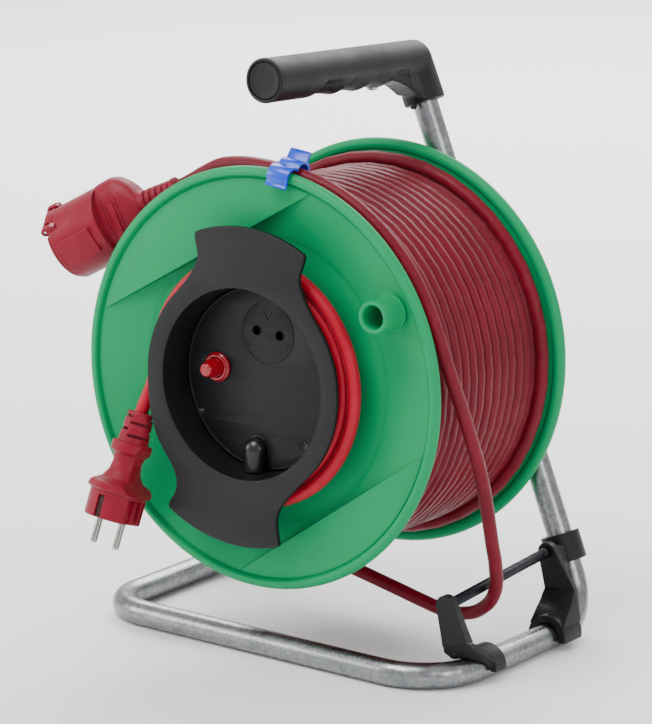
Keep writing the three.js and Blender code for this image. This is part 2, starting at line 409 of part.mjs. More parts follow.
// ================= cables =================
{
  const w = lathe([[R_BAR + 0.5, yF(R_BAR) + 6], [R_BAR + 2, yF(R_BAR) + 3.9], [129.5, yF(129.5) + 3.2], [129.5, 143.6], [136.6, 143.6], [136.6, SEP - 5.0], [135, yRi(135) - 1.0], [R_BAR + 0.5, yRi(104) - 0.8]], SEG);
  put('winding', toGeo(w), 'red');
}
const tube = (pts, n, r = CORD_D / 2, sides = 8) => {
  const c = new THREE.CatmullRomCurve3(pts.map((p) => V(...p)), false, 'centripetal');
  return sweep(c.getSpacedPoints(n), r, sides, V(0, 1, 0.2), 0);
};
const LEADY = -7.5, L_IN = 72.9, L_OUT = 82.2;
const dropPts = [[-83.6, -9.0, -3], [-85.4, -10.4, -12], [-87.8, -14.4, -25.0], [-88.7, -16.7, -31.4]];
const PLUG_AT = V(-88.75, -16.97, -31.78), PLUG_D = V(-0.125, -0.295, -0.947).normalize();
{
  let c = lathe([[77.5, LEADY - 4.7], [86.9, LEADY - 4.7], [86.9, LEADY + 4.7], [77.5, LEADY + 4.7]], SEG);
  // the outer turn leaves the hub on the left, so its lower left quarter is open
  c = c.subtract(prism([[0, 0], ...arc(0, 0, 140, 181, 262, 4)], -30, 20));
  c = c.add(lathe([[68.6, LEADY - 4.7], [77.9, LEADY - 4.7], [77.9, LEADY + 4.7], [68.6, LEADY + 4.7]], SEG));
  c = c.subtract(tube([[-83.6, -9.0, 9], ...dropPts, [-91.2, -20, -46]], 8, CORD_D / 2 + 0.8, 8));
  put('lead_coil', toGeo(c), 'redB');
  put('lead_drop', toGeo(tube(dropPts, 5)), 'redB');
}
// plug: boot, collar, waist, rim and body on the local Y axis
{
  const p = lathe([[0, 0], [8.9, 0], [9.4, 1.6], [10.6, 21], [13, 21.4], [13.4, 28], [11.6, 29.6], [10, 35.6], [11.2, 43], [14.8, 48.6], [21, 50.8], [22.7, 52.2], [22.7, 55.4], [21.4, 56.8], [19.8, 57.2], [19.6, 76.2], [0, 76.2]], 18);
  const at = PLUG_AT, ref = V(0, 1, 0);
  // pins side by side along the image-plane of the drum
  const X = V(0.98, 0, -0.2), y = PLUG_D, x = X.clone().sub(y.clone().multiplyScalar(X.dot(y))).normalize();
  const zz = x.clone().cross(y);
  const M = new THREE.Matrix4().makeBasis(x, y, zz).setPosition(at.x, at.y, at.z);
  const place = (m) => m.transform(Array.from(M.elements));
  let b = p.subtract(box(-3, 3, 60, 90, 16.6, 30)).subtract(box(-3, 3, 60, 90, -30, -16.6));
  for (const s of [-1, 1]) b = b.subtract(cyl([s * 9.5, 64, 0], [s * 9.5, 84, 0], 2.8, 8));
  put('plug_body', toGeo(place(b)), 'red');
  for (const [i, s] of [[1, -1], [2, 1]]) put('plug_pin_' + i, toGeo(place(lathe([[0, 65], [2.4, 65], [2.4, 94.0], [1.4, 95.4], [0, 95.4]], 10).translate([s * 9.5, 0, 0]))), 'nickel');
  for (const [i, s] of [[1, -1], [2, 1]]) put('plug_earth_' + i, toGeo(place(box(-2.4, 2.4, 60.6, 75.6, s > 0 ? 16.9 : -18.3, s > 0 ? 18.3 : -16.9))), 'nickel');
}
// free cable: off the winding, under the guide roller, up the right side, round behind the front rim to the connector
const CP_AT = V(-91.95, 32, 118.56), CP_D = V(-0.868, -0.15, -0.473).normalize();
const FR = 142.6;
const freePts = [[-34.8, 70, -129.9], [0, 70, -137.2], [34, 70, -144.6], [70, 69.8, -153.2], [94, 68.8, -158.4], [110, 67.6, -160.4], [125.5, 66, -158.5], [138.9, 64.4, -151.9], [148.7, 62.6, -139.9], [150.8, 61, -125], [149.9, 57.2, -104], [148.2, 45.6, -56], [144, 27, -6]];
for (const d of [10, 22, 34, 46, 58, 70, 82, 93, 104, 113]) {
  const a = d * Math.PI / 180, r = { 93: 143.5, 104: 145.6, 113: 148.2 }[d] ?? FR, y = { 10: 14.5, 93: 14, 104: 23.2, 113: 30.3 }[d] ?? 10.2;
  freePts.push([r * Math.cos(a), y, r * Math.sin(a)]);
}
for (const k of [13, 0.4]) freePts.push([CP_AT.x - CP_D.x * k, CP_AT.y - CP_D.y * k, CP_AT.z - CP_D.z * k]);
put('free_cable', toGeo(tube(freePts, 46)), 'red');
// connector on the local Y axis: boot, neck, shroud open at the far end
const LID_Y = 99.2, LID_Z = 23.4, LID_TURN = 38;  // lid pin, along and across the connector
{
  const x0 = V(0, 1, 0), y = CP_D, x = x0.clone().sub(y.clone().multiplyScalar(x0.dot(y))).normalize(), z = x.clone().cross(y);
  const M = new THREE.Matrix4().makeBasis(x, y, z).setPosition(CP_AT.x, CP_AT.y, CP_AT.z);
  const place = (m) => m.transform(Array.from(M.elements));
  const turn = (m) => m.transform(Array.from(new THREE.Matrix4().makeRotationY(-LID_TURN * Math.PI / 180).elements));
  let b = lathe([[0, 0], [7.4, 0], [7.8, 3], [9.6, 26], [13.5, 29.4], [18.6, 36], [21.5, 47], [24.5, 57], [26.3, 58.5], [26.6, 97], [22.6, 97], [22.4, 76], [0, 76]], 20);
  const pa = 201 * Math.PI / 180;
  const pad = box(20, 29, 66, 93, -8.2, 8.2).intersect(lathe([[0, 60], [27.6, 60], [27.6, 94], [0, 94]], 20));
  const rot = new THREE.Matrix4().makeRotationY(-pa);
  b = b.add(pad.transform(Array.from(rot.elements)));
  b = b.subtract(turn(box(-9.8, 9.8, 95.2, 99, 19.5, 30)));
  for (const t of [-1, 1]) b = b.add(turn(box(t > 0 ? 9.8 : -13.4, t > 0 ? 13.4 : -9.8, 90, 102, 21, 25.5)));
  b = b.subtract(turn(cyl([-20, LID_Y, LID_Z], [20, LID_Y, LID_Z], 1.55, 8))).subtract(lathe([[0, 76], [22.4, 76], [22.6, 99], [0, 99]], 20));
  put('coupling_body', toGeo(place(b)), 'red');
  let s = lathe([[0, 76.4], [21.6, 76.4], [21.6, 94.2], [19.8, 94.2], [19.6, 78.4], [0, 78.4]], 20);
  for (const t of [-1, 1]) s = s.subtract(cyl([t * 9.5, 70, 0], [t * 9.5, 90, 0], 2.8, 8));
  put('coupling_insert', toGeo(place(s)), 'black');
  // sprung lid: disc closing the mouth, block turning on the pin between the ears
  let l = lathe([[0, 97.5], [24.6, 97.5], [25.4, 98.3], [24.6, 100.2], [0, 100.8]], 20);
  l = l.subtract(box(-15, 15, 90, 110, 19.1, 30));
  l = l.add(box(-9.4, 9.4, 97.5, 103, 11, LID_Z)).add(cyl([-9.4, LID_Y, LID_Z], [9.4, LID_Y, LID_Z], 2.8, 12));
  l = l.subtract(cyl([-14, LID_Y, LID_Z], [14, LID_Y, LID_Z], 1.55, 8));
  put('coupling_lid', toGeo(place(turn(l))), 'red');
  const pin = cyl([-13, LID_Y, LID_Z], [13, LID_Y, LID_Z], 1.2, 8);
  put('lid_pin', toGeo(place(turn(pin))), 'steel');
}

// ---------- floor under the base, centred on the object without its cables ----------
const cords = new Set(['winding', 'lead_coil', 'lead_drop', 'plug_body', 'plug_pin_1', 'plug_pin_2', 'plug_earth_1', 'plug_earth_2', 'free_cable', 'coupling_body', 'coupling_insert', 'coupling_lid', 'lid_pin']);
const bb = new THREE.Box3();
root.children.forEach((m) => { if (!cords.has(m.name)) { m.geometry.computeBoundingBox(); bb.union(m.geometry.boundingBox); } });
root.position.set(-(bb.min.x + bb.max.x) / 2, -(bb.min.y + bb.max.y) / 2, -bb.min.z);
export default root;
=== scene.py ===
# Extension cord reel: the looks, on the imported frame. Metres in the frame; the helpers below take millimetres on the drum's axis.
import bpy, bmesh, json, math
import numpy as np
from mathutils import Vector, Matrix, noise

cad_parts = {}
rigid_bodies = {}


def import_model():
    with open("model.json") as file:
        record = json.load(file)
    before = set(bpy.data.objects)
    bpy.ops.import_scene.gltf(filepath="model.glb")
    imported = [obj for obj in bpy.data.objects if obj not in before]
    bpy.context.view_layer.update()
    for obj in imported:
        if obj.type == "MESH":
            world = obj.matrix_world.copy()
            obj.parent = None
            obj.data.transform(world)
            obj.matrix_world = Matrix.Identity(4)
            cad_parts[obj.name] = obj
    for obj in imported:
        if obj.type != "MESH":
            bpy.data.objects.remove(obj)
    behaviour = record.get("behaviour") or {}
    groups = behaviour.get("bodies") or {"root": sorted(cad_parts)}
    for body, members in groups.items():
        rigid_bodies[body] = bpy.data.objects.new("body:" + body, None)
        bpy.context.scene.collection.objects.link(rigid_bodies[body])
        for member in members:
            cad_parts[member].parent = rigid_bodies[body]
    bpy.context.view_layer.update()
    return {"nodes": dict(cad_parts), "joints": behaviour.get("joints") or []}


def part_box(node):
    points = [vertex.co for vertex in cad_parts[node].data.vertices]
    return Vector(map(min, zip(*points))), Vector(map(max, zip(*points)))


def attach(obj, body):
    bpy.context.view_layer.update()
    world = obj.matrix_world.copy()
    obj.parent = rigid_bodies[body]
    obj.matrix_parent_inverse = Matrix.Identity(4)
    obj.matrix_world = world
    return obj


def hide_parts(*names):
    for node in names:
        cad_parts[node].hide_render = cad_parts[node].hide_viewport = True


for _o in list(bpy.data.objects):
    bpy.data.objects.remove(_o)
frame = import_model()
JOINT = {j["name"]: j for j in frame["joints"]}
HUB = JOINT["drum_spin"]["pos_m"]
OX, OY, OZ = HUB[0], HUB[1] - 0.078, HUB[2]
SCN = bpy.context.scene
COL = SCN.collection
PI = math.pi


def W(p):
    """A point on the drum's axis frame, in mm, to the row frame, in metres."""
    return Vector((OX + p[0] / 1000, OY + p[1] / 1000, OZ + p[2] / 1000))


# ---------------------------------------------------------------- camera
az, el = math.radians(35.12), math.radians(12.16)
right = Vector((math.cos(az), math.sin(az), 0))
up = Vector((-math.sin(az) * math.sin(el), math.cos(az) * math.sin(el), math.cos(el)))
back = Vector((math.sin(az) * math.cos(el), -math.cos(az) * math.cos(el), math.sin(el)))
cam_data = bpy.data.cameras.new("camera")
cam = bpy.data.objects.new("camera", cam_data)
COL.objects.link(cam)
target = right * 44.31 + up * 11.50
cam.matrix_world = Matrix((
    (right.x, up.x, back.x, 0), (right.y, up.y, back.y, 0), (right.z, up.z, back.z, 0), (0, 0, 0, 1)))
cam.location = W(target + back * 2384.7)
cam_data.sensor_fit = "AUTO"
cam_data.sensor_width = 36
cam_data.lens = 3537.03 * 36 / 724
cam_data.clip_start, cam_data.clip_end = 0.1, 30
SCN.camera = cam


# ---------------------------------------------------------------- node materials
def material(name, color, rough=0.5, metal=0.0, **kw):
    m = bpy.data.materials.new(name)
    m.use_nodes = True
    nt = m.node_tree
    b = nt.nodes["Principled BSDF"]
    b.inputs["Base Color"].default_value = (*color, 1)
    b.inputs["Roughness"].default_value = rough
    b.inputs["Metallic"].default_value = metal
    for k, v in kw.items():
        b.inputs[k.replace("_", " ")].default_value = v
    m.diffuse_color = (*color, 1)
    return m, nt, b


def lin(c):
    """sRGB 0..255 to linear."""
    out = []
    for v in c:
        v /= 255
        out.append(v / 12.92 if v <= 0.04045 else ((v + 0.055) / 1.055) ** 2.4)
    return tuple(out)


def node(nt, kind, **kw):
    n = nt.nodes.new(kind)
    for k, v in kw.items():
        if hasattr(n, k):
            setattr(n, k, v)
        else:
            n.inputs[k.replace("_", " ")].default_value = v
    return n


def coords(nt, scale=(1, 1, 1)):
    tc = nt.nodes.new("ShaderNodeTexCoord")
    mp = nt.nodes.new("ShaderNodeMapping")
    mp.inputs["Scale"].default_value = scale
    nt.links.new(tc.outputs["Object"], mp.inputs["Vector"])
    return mp.outputs["Vector"]


def noise_tex(nt, vec, scale, detail=3, rough=0.55, dist=0.0):
    n = nt.nodes.new("ShaderNodeTexNoise")
    n.inputs["Scale"].default_value = scale
    n.inputs["Detail"].default_value = detail
    n.inputs["Roughness"].default_value = rough
    n.inputs["Distortion"].default_value = dist
    nt.links.new(vec, n.inputs["Vector"])
    return n.outputs["Fac"]


def ramp(nt, fac, stops):
    r = nt.nodes.new("ShaderNodeValToRGB")
    e = r.color_ramp.elements
    while len(e) < len(stops):
        e.new(0.5)
    for i, (p, c) in enumerate(stops):
        e[i].position = p
        e[i].color = (*c, 1) if len(c) == 3 else c
    nt.links.new(fac, r.inputs["Fac"])
    return r.outputs["Color"]


def grey(v):
    return (v, v, v)


def bump(nt, parts, b, distance=0.001):
    """parts: (height socket, strength) chained."""
    last = None
    for h, s in parts:
        n = nt.nodes.new("ShaderNodeBump")
        n.inputs["Strength"].default_value = s
        n.inputs["Distance"].default_value = distance
        nt.links.new(h, n.inputs["Height"])
        if last is not None:
            nt.links.new(last, n.inputs["Normal"])
        last = n.outputs["Normal"]
    nt.links.new(last, b.inputs["Normal"])


def edge_wear(nt, vec, width, scale):
    """0..1 mask on worn convex edges: pointiness broken up by noise."""
    g = nt.nodes.new("ShaderNodeNewGeometry")
    r = ramp(nt, g.outputs["Pointiness"], [(0.5 + width, grey(0)), (0.5 + width * 3.2, grey(1))])
    n = ramp(nt, noise_tex(nt, vec, scale, 5, 0.65), [(0.46, grey(0)), (0.62, grey(1))])
    mx = nt.nodes.new("ShaderNodeMath")
    mx.operation = "MULTIPLY"
    nt.links.new(r, mx.inputs[0])
    nt.links.new(n, mx.inputs[1])
    return mx.outputs[0]


def mixc(nt, fac, a, b):
    m = nt.nodes.new("ShaderNodeMix")
    m.data_type = "RGBA"
    if isinstance(fac, (int, float)):
        m.inputs[0].default_value = fac
    else:
        nt.links.new(fac, m.inputs[0])
    for s, v in ((6, a), (7, b)):
        if isinstance(v, tuple):
            m.inputs[s].default_value = (*v, 1) if len(v) == 3 else v
        else:
            nt.links.new(v, m.inputs[s])
    return m.outputs[2]


def plastic(name, c1, c2, rough, grain, grain_s, wear=None, fine=0.10, rvar=0.10, scratch=0.0):
    """Moulded plastic: slow colour drift, leather-like grain, rubbed edges, hairline scratches."""
    m, nt, b = material(name, c1, rough)
    v = coords(nt)
    drift = noise_tex(nt, v, 9, 4, 0.6)
    col = mixc(nt, ramp(nt, drift, [(0.3, grey(0)), (0.7, grey(1))]), c1, c2)
    if wear:
        col = mixc(nt, edge_wear(nt, v, 0.012, 160), col, wear)
    nt.links.new(col, b.inputs["Base Color"])
    rn = noise_tex(nt, v, 34, 5, 0.62)
    lo, hi = rough - rvar, rough + rvar
    rr = ramp(nt, rn, [(0.3, grey(lo)), (0.72, grey(hi))])
    hs = [(noise_tex(nt, v, grain, 2, 0.5), grain_s), (noise_tex(nt, v, 38, 3, 0.5), fine)]
    if scratch:
        vs = coords(nt, (1.0, 1.0, 0.07))
        sc = ramp(nt, noise_tex(nt, vs, 420, 2, 0.5, 0.6), [(0.60, grey(0)), (0.72, grey(1))])
        hs.append((sc, scratch))
        add = nt.nodes.new("ShaderNodeMath")
        add.operation = "MULTIPLY_ADD"
        nt.links.new(sc, add.inputs[0])
        add.inputs[1].default_value = 0.12
        nt.links.new(rr, add.inputs[2])
        nt.links.new(add.outputs[0], b.inputs["Roughness"])
    else:
        nt.links.new(rr, b.inputs["Roughness"])
    bump(nt, hs, b)
    return m


def rubber(name, c1, c2, rough=0.52):
    m, nt, b = material(name, c1, rough)
    v = coords(nt)
    drift = noise_tex(nt, v, 22, 4, 0.6)
    dust = ramp(nt, noise_tex(nt, v, 130, 5, 0.7), [(0.52, grey(0)), (0.78, grey(0.35))])
    col = mixc(nt, ramp(nt, drift, [(0.32, grey(0)), (0.68, grey(1))]), c1, c2)
    col = mixc(nt, dust, col, tuple(min(1, x * 1.35 + 0.02) for x in c2))
    nt.links.new(col, b.inputs["Base Color"])
    nt.links.new(ramp(nt, noise_tex(nt, v, 60, 4, 0.6), [(0.3, grey(rough - 0.10)), (0.7, grey(rough + 0.10))]), b.inputs["Roughness"])
    bump(nt, [(noise_tex(nt, v, 1500, 2, 0.5), 0.10), (noise_tex(nt, v, 210, 3, 0.55), 0.16), (noise_tex(nt, v, 45, 2, 0.5), 0.12)], b)
    b.inputs["Sheen Weight"].default_value = 0.08
    b.inputs["Sheen Roughness"].default_value = 0.4
    return m


def galvanised(name):
    m, nt, b = material(name, (0.5, 0.5, 0.5), 0.35, 1.0)
    v = coords(nt)
    vo = nt.nodes.new("ShaderNodeTexVoronoi")
    vo.inputs["Scale"].default_value = 420
    vo.inputs["Randomness"].default_value = 1.0
    dv = nt.nodes.new("ShaderNodeVectorMath")
    dv.operation = "MULTIPLY_ADD"
    dn = nt.nodes.new("ShaderNodeTexNoise")
    dn.inputs["Scale"].default_value = 160
    nt.links.new(v, dn.inputs["Vector"])
    nt.links.new(dn.outputs["Color"], dv.inputs[0])
    dv.inputs[1].default_value = (0.006, 0.006, 0.006)
    nt.links.new(v, dv.inputs[2])
    nt.links.new(dv.outputs[0], vo.inputs["Vector"])
    sep = nt.nodes.new("ShaderNodeSeparateColor")
    nt.links.new(vo.outputs["Color"], sep.inputs[0])
    spang = ramp(nt, sep.outputs[0], [(0.0, (0.17, 0.178, 0.187)), (0.5, (0.25, 0.26, 0.272)), (1.0, (0.34, 0.35, 0.365))])
    cloud = ramp(nt, noise_tex(nt, v, 60, 6, 0.66), [(0.36, (0.19, 0.198, 0.207)), (0.66, (0.33, 0.34, 0.353))])
    col = mixc(nt, 0.5, spang, cloud)
    stain = ramp(nt, noise_tex(nt, v, 120, 5, 0.7), [(0.60, grey(0)), (0.76, grey(0.45))])
    col = mixc(nt, stain, col, (0.12, 0.122, 0.128))
    nt.links.new(col, b.inputs["Base Color"])
    rr = mixc(nt, 0.5, ramp(nt, sep.outputs[1], [(0, grey(0.24)), (1, grey(0.34))]), ramp(nt, noise_tex(nt, v, 60, 5, 0.6), [(0.3, grey(0.22)), (0.7, grey(0.36))]))
    nt.links.new(rr, b.inputs["Roughness"])
    bump(nt, [(sep.outputs[2], 0.05), (noise_tex(nt, v, 900, 3, 0.6), 0.07), (noise_tex(nt, v, 90, 3, 0.55), 0.16)], b)
    return m


def plated(name, c, rough, scale=240):
    m, nt, b = material(name, c, rough, 1.0)
    v = coords(nt)
    col = mixc(nt, ramp(nt, noise_tex(nt, v, scale, 5, 0.65), [(0.35, grey(0)), (0.7, grey(1))]), tuple(x * 0.72 for x in c), c)
    nt.links.new(col, b.inputs["Base Color"])
    nt.links.new(ramp(nt, noise_tex(nt, v, scale * 1.6, 4, 0.6), [(0.3, grey(max(0.05, rough - 0.1))), (0.7, grey(rough + 0.14))]), b.inputs["Roughness"])
    bump(nt, [(noise_tex(nt, v, scale * 4, 3, 0.55), 0.08), (noise_tex(nt, v, scale * 0.6, 2, 0.5), 0.10)], b)
    return m


M = {
    "green": plastic("green_plastic", lin((0, 140, 84)), lin((0, 147, 89)), 0.40, 900, 0.035, None, 0.08, 0.06, 0.04),
    "black": plastic("black_plastic", lin((10, 10, 13)), lin((15, 15, 18)), 0.46, 1500, 0.30, None, 0.14, 0.09),
    "black_smooth": plastic("black_plate_plastic", lin((19, 20, 23)), lin((24, 25, 28)), 0.46, 1900, 0.22, None, 0.10, 0.08),
    "black_gloss": plastic("black_gloss_plastic", lin((12, 12, 14)), lin((17, 18, 20)), 0.28, 700, 0.05, None, 0.10, 0.07),
    "red": rubber("dark_red_rubber", lin((98, 0, 22)), lin((114, 3, 29)), 0.44),
    "red_moulded": rubber("moulded_red_rubber", lin((122, 2, 30)), lin((134, 6, 36)), 0.46),
    "red_bright": rubber("bright_red_rubber", lin((166, 0, 34)), lin((178, 2, 40)), 0.42),
    "cap_red": plastic("cap_plastic", lin((142, 2, 22)), lin((156, 8, 30)), 0.26, 600, 0.03, None, 0.06, 0.05),
    "blue": plastic("blue_plastic", lin((0, 60, 196)), lin((0, 72, 208)), 0.28, 700, 0.04, None, 0.06, 0.05),
    "zinc": galvanised("galvanised_steel"),
    "steel": plated("plated_steel", (0.60, 0.60, 0.61), 0.30),
    "rod": plated("blued_rod_steel", (0.030, 0.032, 0.040), 0.40, 150),
    "dark_steel": plated("blued_steel", (0.085, 0.09, 0.105), 0.24, 180),
    "nickel": plated("nickel_pins", (0.46, 0.44, 0.40), 0.13, 160),
    "floor_screw": plated("floor_screw_steel", (0.30, 0.30, 0.31), 0.20, 200),
    # earth contact: its bright plated metal is darkened to a brownish near-black, painted shade for the dark slot it
    # sits in
    "earth": plated("earth_contact", (0.075, 0.045, 0.04), 0.55, 200),
    "bronze": plated("sintered_bronze", (0.52, 0.33, 0.16), 0.38, 420),
    "white": plastic("white_plastic", lin((205, 203, 196)), lin((190, 188, 180)), 0.45, 900, 0.10, None, 0.08, 0.08),
}
M["cap_red"].node_tree.nodes["Principled BSDF"].inputs["Coat Weight"].default_value = 0.35
M["blue"].node_tree.nodes["Principled BSDF"].inputs["Coat Weight"].default_value = 0.2
for _k, _v in (("black", 0.30), ("black_smooth", 0.26), ("green", 0.14), ("red", 0.22), ("red_moulded", 0.24), ("red_bright", 0.26)):
    M[_k].node_tree.nodes["Principled BSDF"].inputs["Specular IOR Level"].default_value = _v


# ---------------------------------------------------------------- geometry helpers (mm on the drum axis)
def clean(V, F):
    me = bpy.data.meshes.new("tmp")
    me.from_pydata([tuple(v) for v in V], [], F)
    me.validate()
    me.update()
    return me


def obj_mm(me):
    o = bpy.data.objects.new("tmp", me)
    COL.objects.link(o)
    return o


def piece(name, parts, mat, body, rep=(), angle=32):
    """Joins meshes in mm (a mesh, or (V, F)) into one object placed in the row frame."""
    bm = bmesh.new()
    for p in parts if isinstance(parts, list) else [parts]:
        me = clean(*p) if isinstance(p, tuple) else p
        bm.from_mesh(me)
    me = bpy.data.meshes.new(name)
    bm.to_mesh(me)
    bm.free()
    n = len(me.vertices)
    co = np.empty(n * 3, np.float64)
    me.vertices.foreach_get("co", co)
    co = co.reshape(-1, 3) / 1000 + np.array([OX, OY, OZ])
    me.vertices.foreach_set("co", co.astype(np.float32).ravel())
    me.polygons.foreach_set("use_smooth", [True] * len(me.polygons))
    me.set_sharp_from_angle(angle=math.radians(angle))
    me.materials.clear()
    me.materials.append(M[mat])
    me.update()
    o = bpy.data.objects.new(name, me)
    COL.objects.link(o)
    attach(o, body)
    if rep:
        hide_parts(*([rep] if isinstance(rep, str) else rep))
    return o


def rounded(pts, r, n=4, closed=True):
    """A 2D outline with its corners rounded; r is one radius or one for each corner."""
    pts = [Vector((p[0], p[1])) for p in pts]
    N = len(pts)
    rs = list(r) if hasattr(r, "__len__") else [r] * N
    out = []
    for i, p in enumerate(pts):
        if (not closed and i in (0, N - 1)) or rs[i] <= 0:
            out.append((p.x, p.y))
            continue
        a, b = pts[i - 1] - p, pts[(i + 1) % N] - p
        la, lb = a.length, b.length
        if la < 1e-6 or lb < 1e-6:
            out.append((p.x, p.y))
            continue
        a, b = a / la, b / lb
        ang = math.acos(max(-1, min(1, a.dot(b))))
        if ang > PI - 0.06 or ang < 0.03:
            out.append((p.x, p.y))
            continue
        d = min(rs[i] / math.tan(ang / 2), la * 0.47, lb * 0.47)
        rr = d * math.tan(ang / 2)
        c = p + (a + b).normalized() * (rr / math.sin(ang / 2))
        s, e = p + a * d - c, p + b * d - c
        w = math.acos(max(-1, min(1, s.dot(e) / (s.length * e.length))))
        for k in range(n + 1):
            f = k / n
            q = c + s * (math.sin((1 - f) * w) / math.sin(w)) + e * (math.sin(f * w) / math.sin(w)) if w > 1e-4 else c + s
            out.append((q.x, q.y))
    return out


def lathe(prof, n=96, move=None, closed=True):
    """Turns an outline of (r, y) about the Y axis. move(r, y, angle) may shift each point."""
    V, F, rows = [], [], []
    for r, y in prof:
        if r < 1e-5:
            rows.append([len(V)] * n)
            V.append((0, y, 0))
            continue
        row = []
        for k in range(n):
            a = 2 * PI * k / n
            if move:
                rr, yy = move(r, y, a)
            else:
                rr, yy = r, y
            row.append(len(V))
            V.append((rr * math.cos(a), yy, rr * math.sin(a)))
        rows.append(row)
    m = len(rows)
    for i in range(m if closed else m - 1):
        A, B = rows[i], rows[(i + 1) % m]
        for k in range(n):
            q = [A[k], A[(k + 1) % n], B[(k + 1) % n], B[k]]
            q = [v for j, v in enumerate(q) if v != q[j - 1]]
            if len(q) >= 3 and len(set(q)) == len(q):
                F.append(q)
    return V, F


def place(VF, mat):
    """Moves a (V, F) by a 4x4 given in mm."""
    V, F = VF
    return [tuple(mat @ Vector(v)) for v in V], F


def basis(x, y, z, at):
    return Matrix(((x[0], y[0], z[0], at[0]), (x[1], y[1], z[1], at[1]), (x[2], y[2], z[2], at[2]), (0, 0, 0, 1)))


def plate(outlines, y0, y1, bev=0.5, n=2):
    """Flat plate from closed (x, z) outlines (holes after the rim), from y0 to y1, with rounded edges."""
    cu = bpy.data.curves.new("plate", "CURVE")
    cu.dimensions, cu.fill_mode = "2D", "BOTH"
    for pts in outlines:
        s = cu.splines.new("POLY")
        s.points.add(len(pts) - 1)
        for i, p in enumerate(pts):
            s.points[i].co = (p[0], p[1], 0, 1)
        s.use_cyclic_u = True
    cu.extrude = (y1 - y0) / 2 - bev
    cu.bevel_depth = bev
    cu.bevel_resolution = n
    cu.offset = -bev
    o = bpy.data.objects.new("plate", cu)
    COL.objects.link(o)
    bpy.context.view_layer.update()
    me = bpy.data.meshes.new_from_object(o.evaluated_get(bpy.context.evaluated_depsgraph_get()))
    bpy.data.objects.remove(o)
    mid = (y0 + y1) / 2
    # local x, y, z -> X, Z, -Y keeps the winding
    me.transform(Matrix(((1, 0, 0, 0), (0, 0, -1, mid), (0, 1, 0, 0), (0, 0, 0, 1))))
    bm = bmesh.new()
    bm.from_mesh(me)
    bmesh.ops.remove_doubles(bm, verts=bm.verts, dist=0.004)
    bmesh.ops.recalc_face_normals(bm, faces=bm.faces)
    bm.to_mesh(me)
    bm.free()
    return me


def circle(cx, cz, r, n=48, a0=0):
    return [(cx + r * math.cos(a0 + 2 * PI * k / n), cz + r * math.sin(a0 + 2 * PI * k / n)) for k in range(n)]


def as_mesh(p):
    return clean(*p) if isinstance(p, tuple) else p


def boolean(base, tools, op="DIFFERENCE", bevel=0.0, segs=2, angle=38):
    """base with each tool taken off it (or added), then a bevel on its sharp edges. All in mm."""
    o = obj_mm(as_mesh(base))
    junk = [o]
    for t in tools:
        to = obj_mm(as_mesh(t))
        bm = bmesh.new()
        bm.from_mesh(to.data)
        bmesh.ops.recalc_face_normals(bm, faces=bm.faces)
        bm.to_mesh(to.data)
        bm.free()
        junk.append(to)
        md = o.modifiers.new("b", "BOOLEAN")
        md.operation, md.object, md.solver = op, to, "EXACT"
    bm = bmesh.new()
    bm.from_mesh(o.data)
    bmesh.ops.recalc_face_normals(bm, faces=bm.faces)
    bm.to_mesh(o.data)
    bm.free()
    if bevel:
        md = o.modifiers.new("w", "WELD")
        md.merge_threshold = 0.01
        md = o.modifiers.new("v", "BEVEL")
        md.width, md.segments, md.limit_method, md.angle_limit = bevel, segs, "ANGLE", math.radians(angle)
        md.use_clamp_overlap = True
        md.miter_outer = "MITER_ARC"
    bpy.context.view_layer.update()
    me = bpy.data.meshes.new_from_object(o.evaluated_get(bpy.context.evaluated_depsgraph_get()))
    for j in junk:
        bpy.data.objects.remove(j)
    return me


def bevelled(base, width, segs=3, angle=35):
    return boolean(base, [], bevel=width, segs=segs, angle=angle)


def tube_mesh(path, radius, sides=24, up0=(0, 0, 1), caps=True, mod=None, start=0):
    """Sweeps a circle down path. radius is a number or one per point; mod(i, angle) scales it."""
    P = [Vector(p) for p in path]
    N = len(P)
    T = []
    for i in range(N):
        a, b = P[max(0, i - 1)], P[min(N - 1, i + 1)]
        T.append((b - a).normalized())
    fr = [None] * N
    n0 = Vector(up0)
    n0 = (n0 - T[start] * n0.dot(T[start])).normalized()
    for step in (1, -1):
        nn = n0.copy()
        i = start
        while 0 <= i < N:
            nn = (nn - T[i] * nn.dot(T[i])).normalized()
            fr[i] = (nn, T[i].cross(nn))
            i += step
    V, F = [], []
    for i in range(N):
        r = radius[i] if hasattr(radius, "__len__") else radius
        for k in range(sides):
            a = 2 * PI * k / sides
            rr = r * (mod(i, a) if mod else 1)
            V.append(tuple(P[i] + fr[i][0] * (rr * math.cos(a)) + fr[i][1] * (rr * math.sin(a))))
    for i in range(N - 1):
        for k in range(sides):
            F.append([i * sides + k, i * sides + (k + 1) % sides, (i + 1) * sides + (k + 1) % sides, (i + 1) * sides + k])
    if caps:
        F.append(list(range(sides))[::-1])
        F.append([(N - 1) * sides + k for k in range(sides)])
    return V, F


def fillet_path(pts, rs, n=12):
    """A path with its corners rounded to radii rs."""
    P = [Vector(p) for p in pts]
    out = [P[0]]
    for i in range(1, len(P) - 1):
        p = P[i]
        u, w = (P[i - 1] - p).normalized(), (P[i + 1] - p).normalized()
        half = math.acos(max(-1, min(1, u.dot(w)))) / 2
        d = rs[i - 1] / math.tan(half)
        c = p + (u + w).normalized() * (rs[i - 1] / math.sin(half))
        s, e = p + u * d - c, p + w * d - c
        ang = s.angle(e)
        for k in range(n + 1):
            f = k / n
            out.append(c + s * (math.sin((1 - f) * ang) / math.sin(ang)) + e * (math.sin(f * ang) / math.sin(ang)))
    out.append(P[-1])
    return out


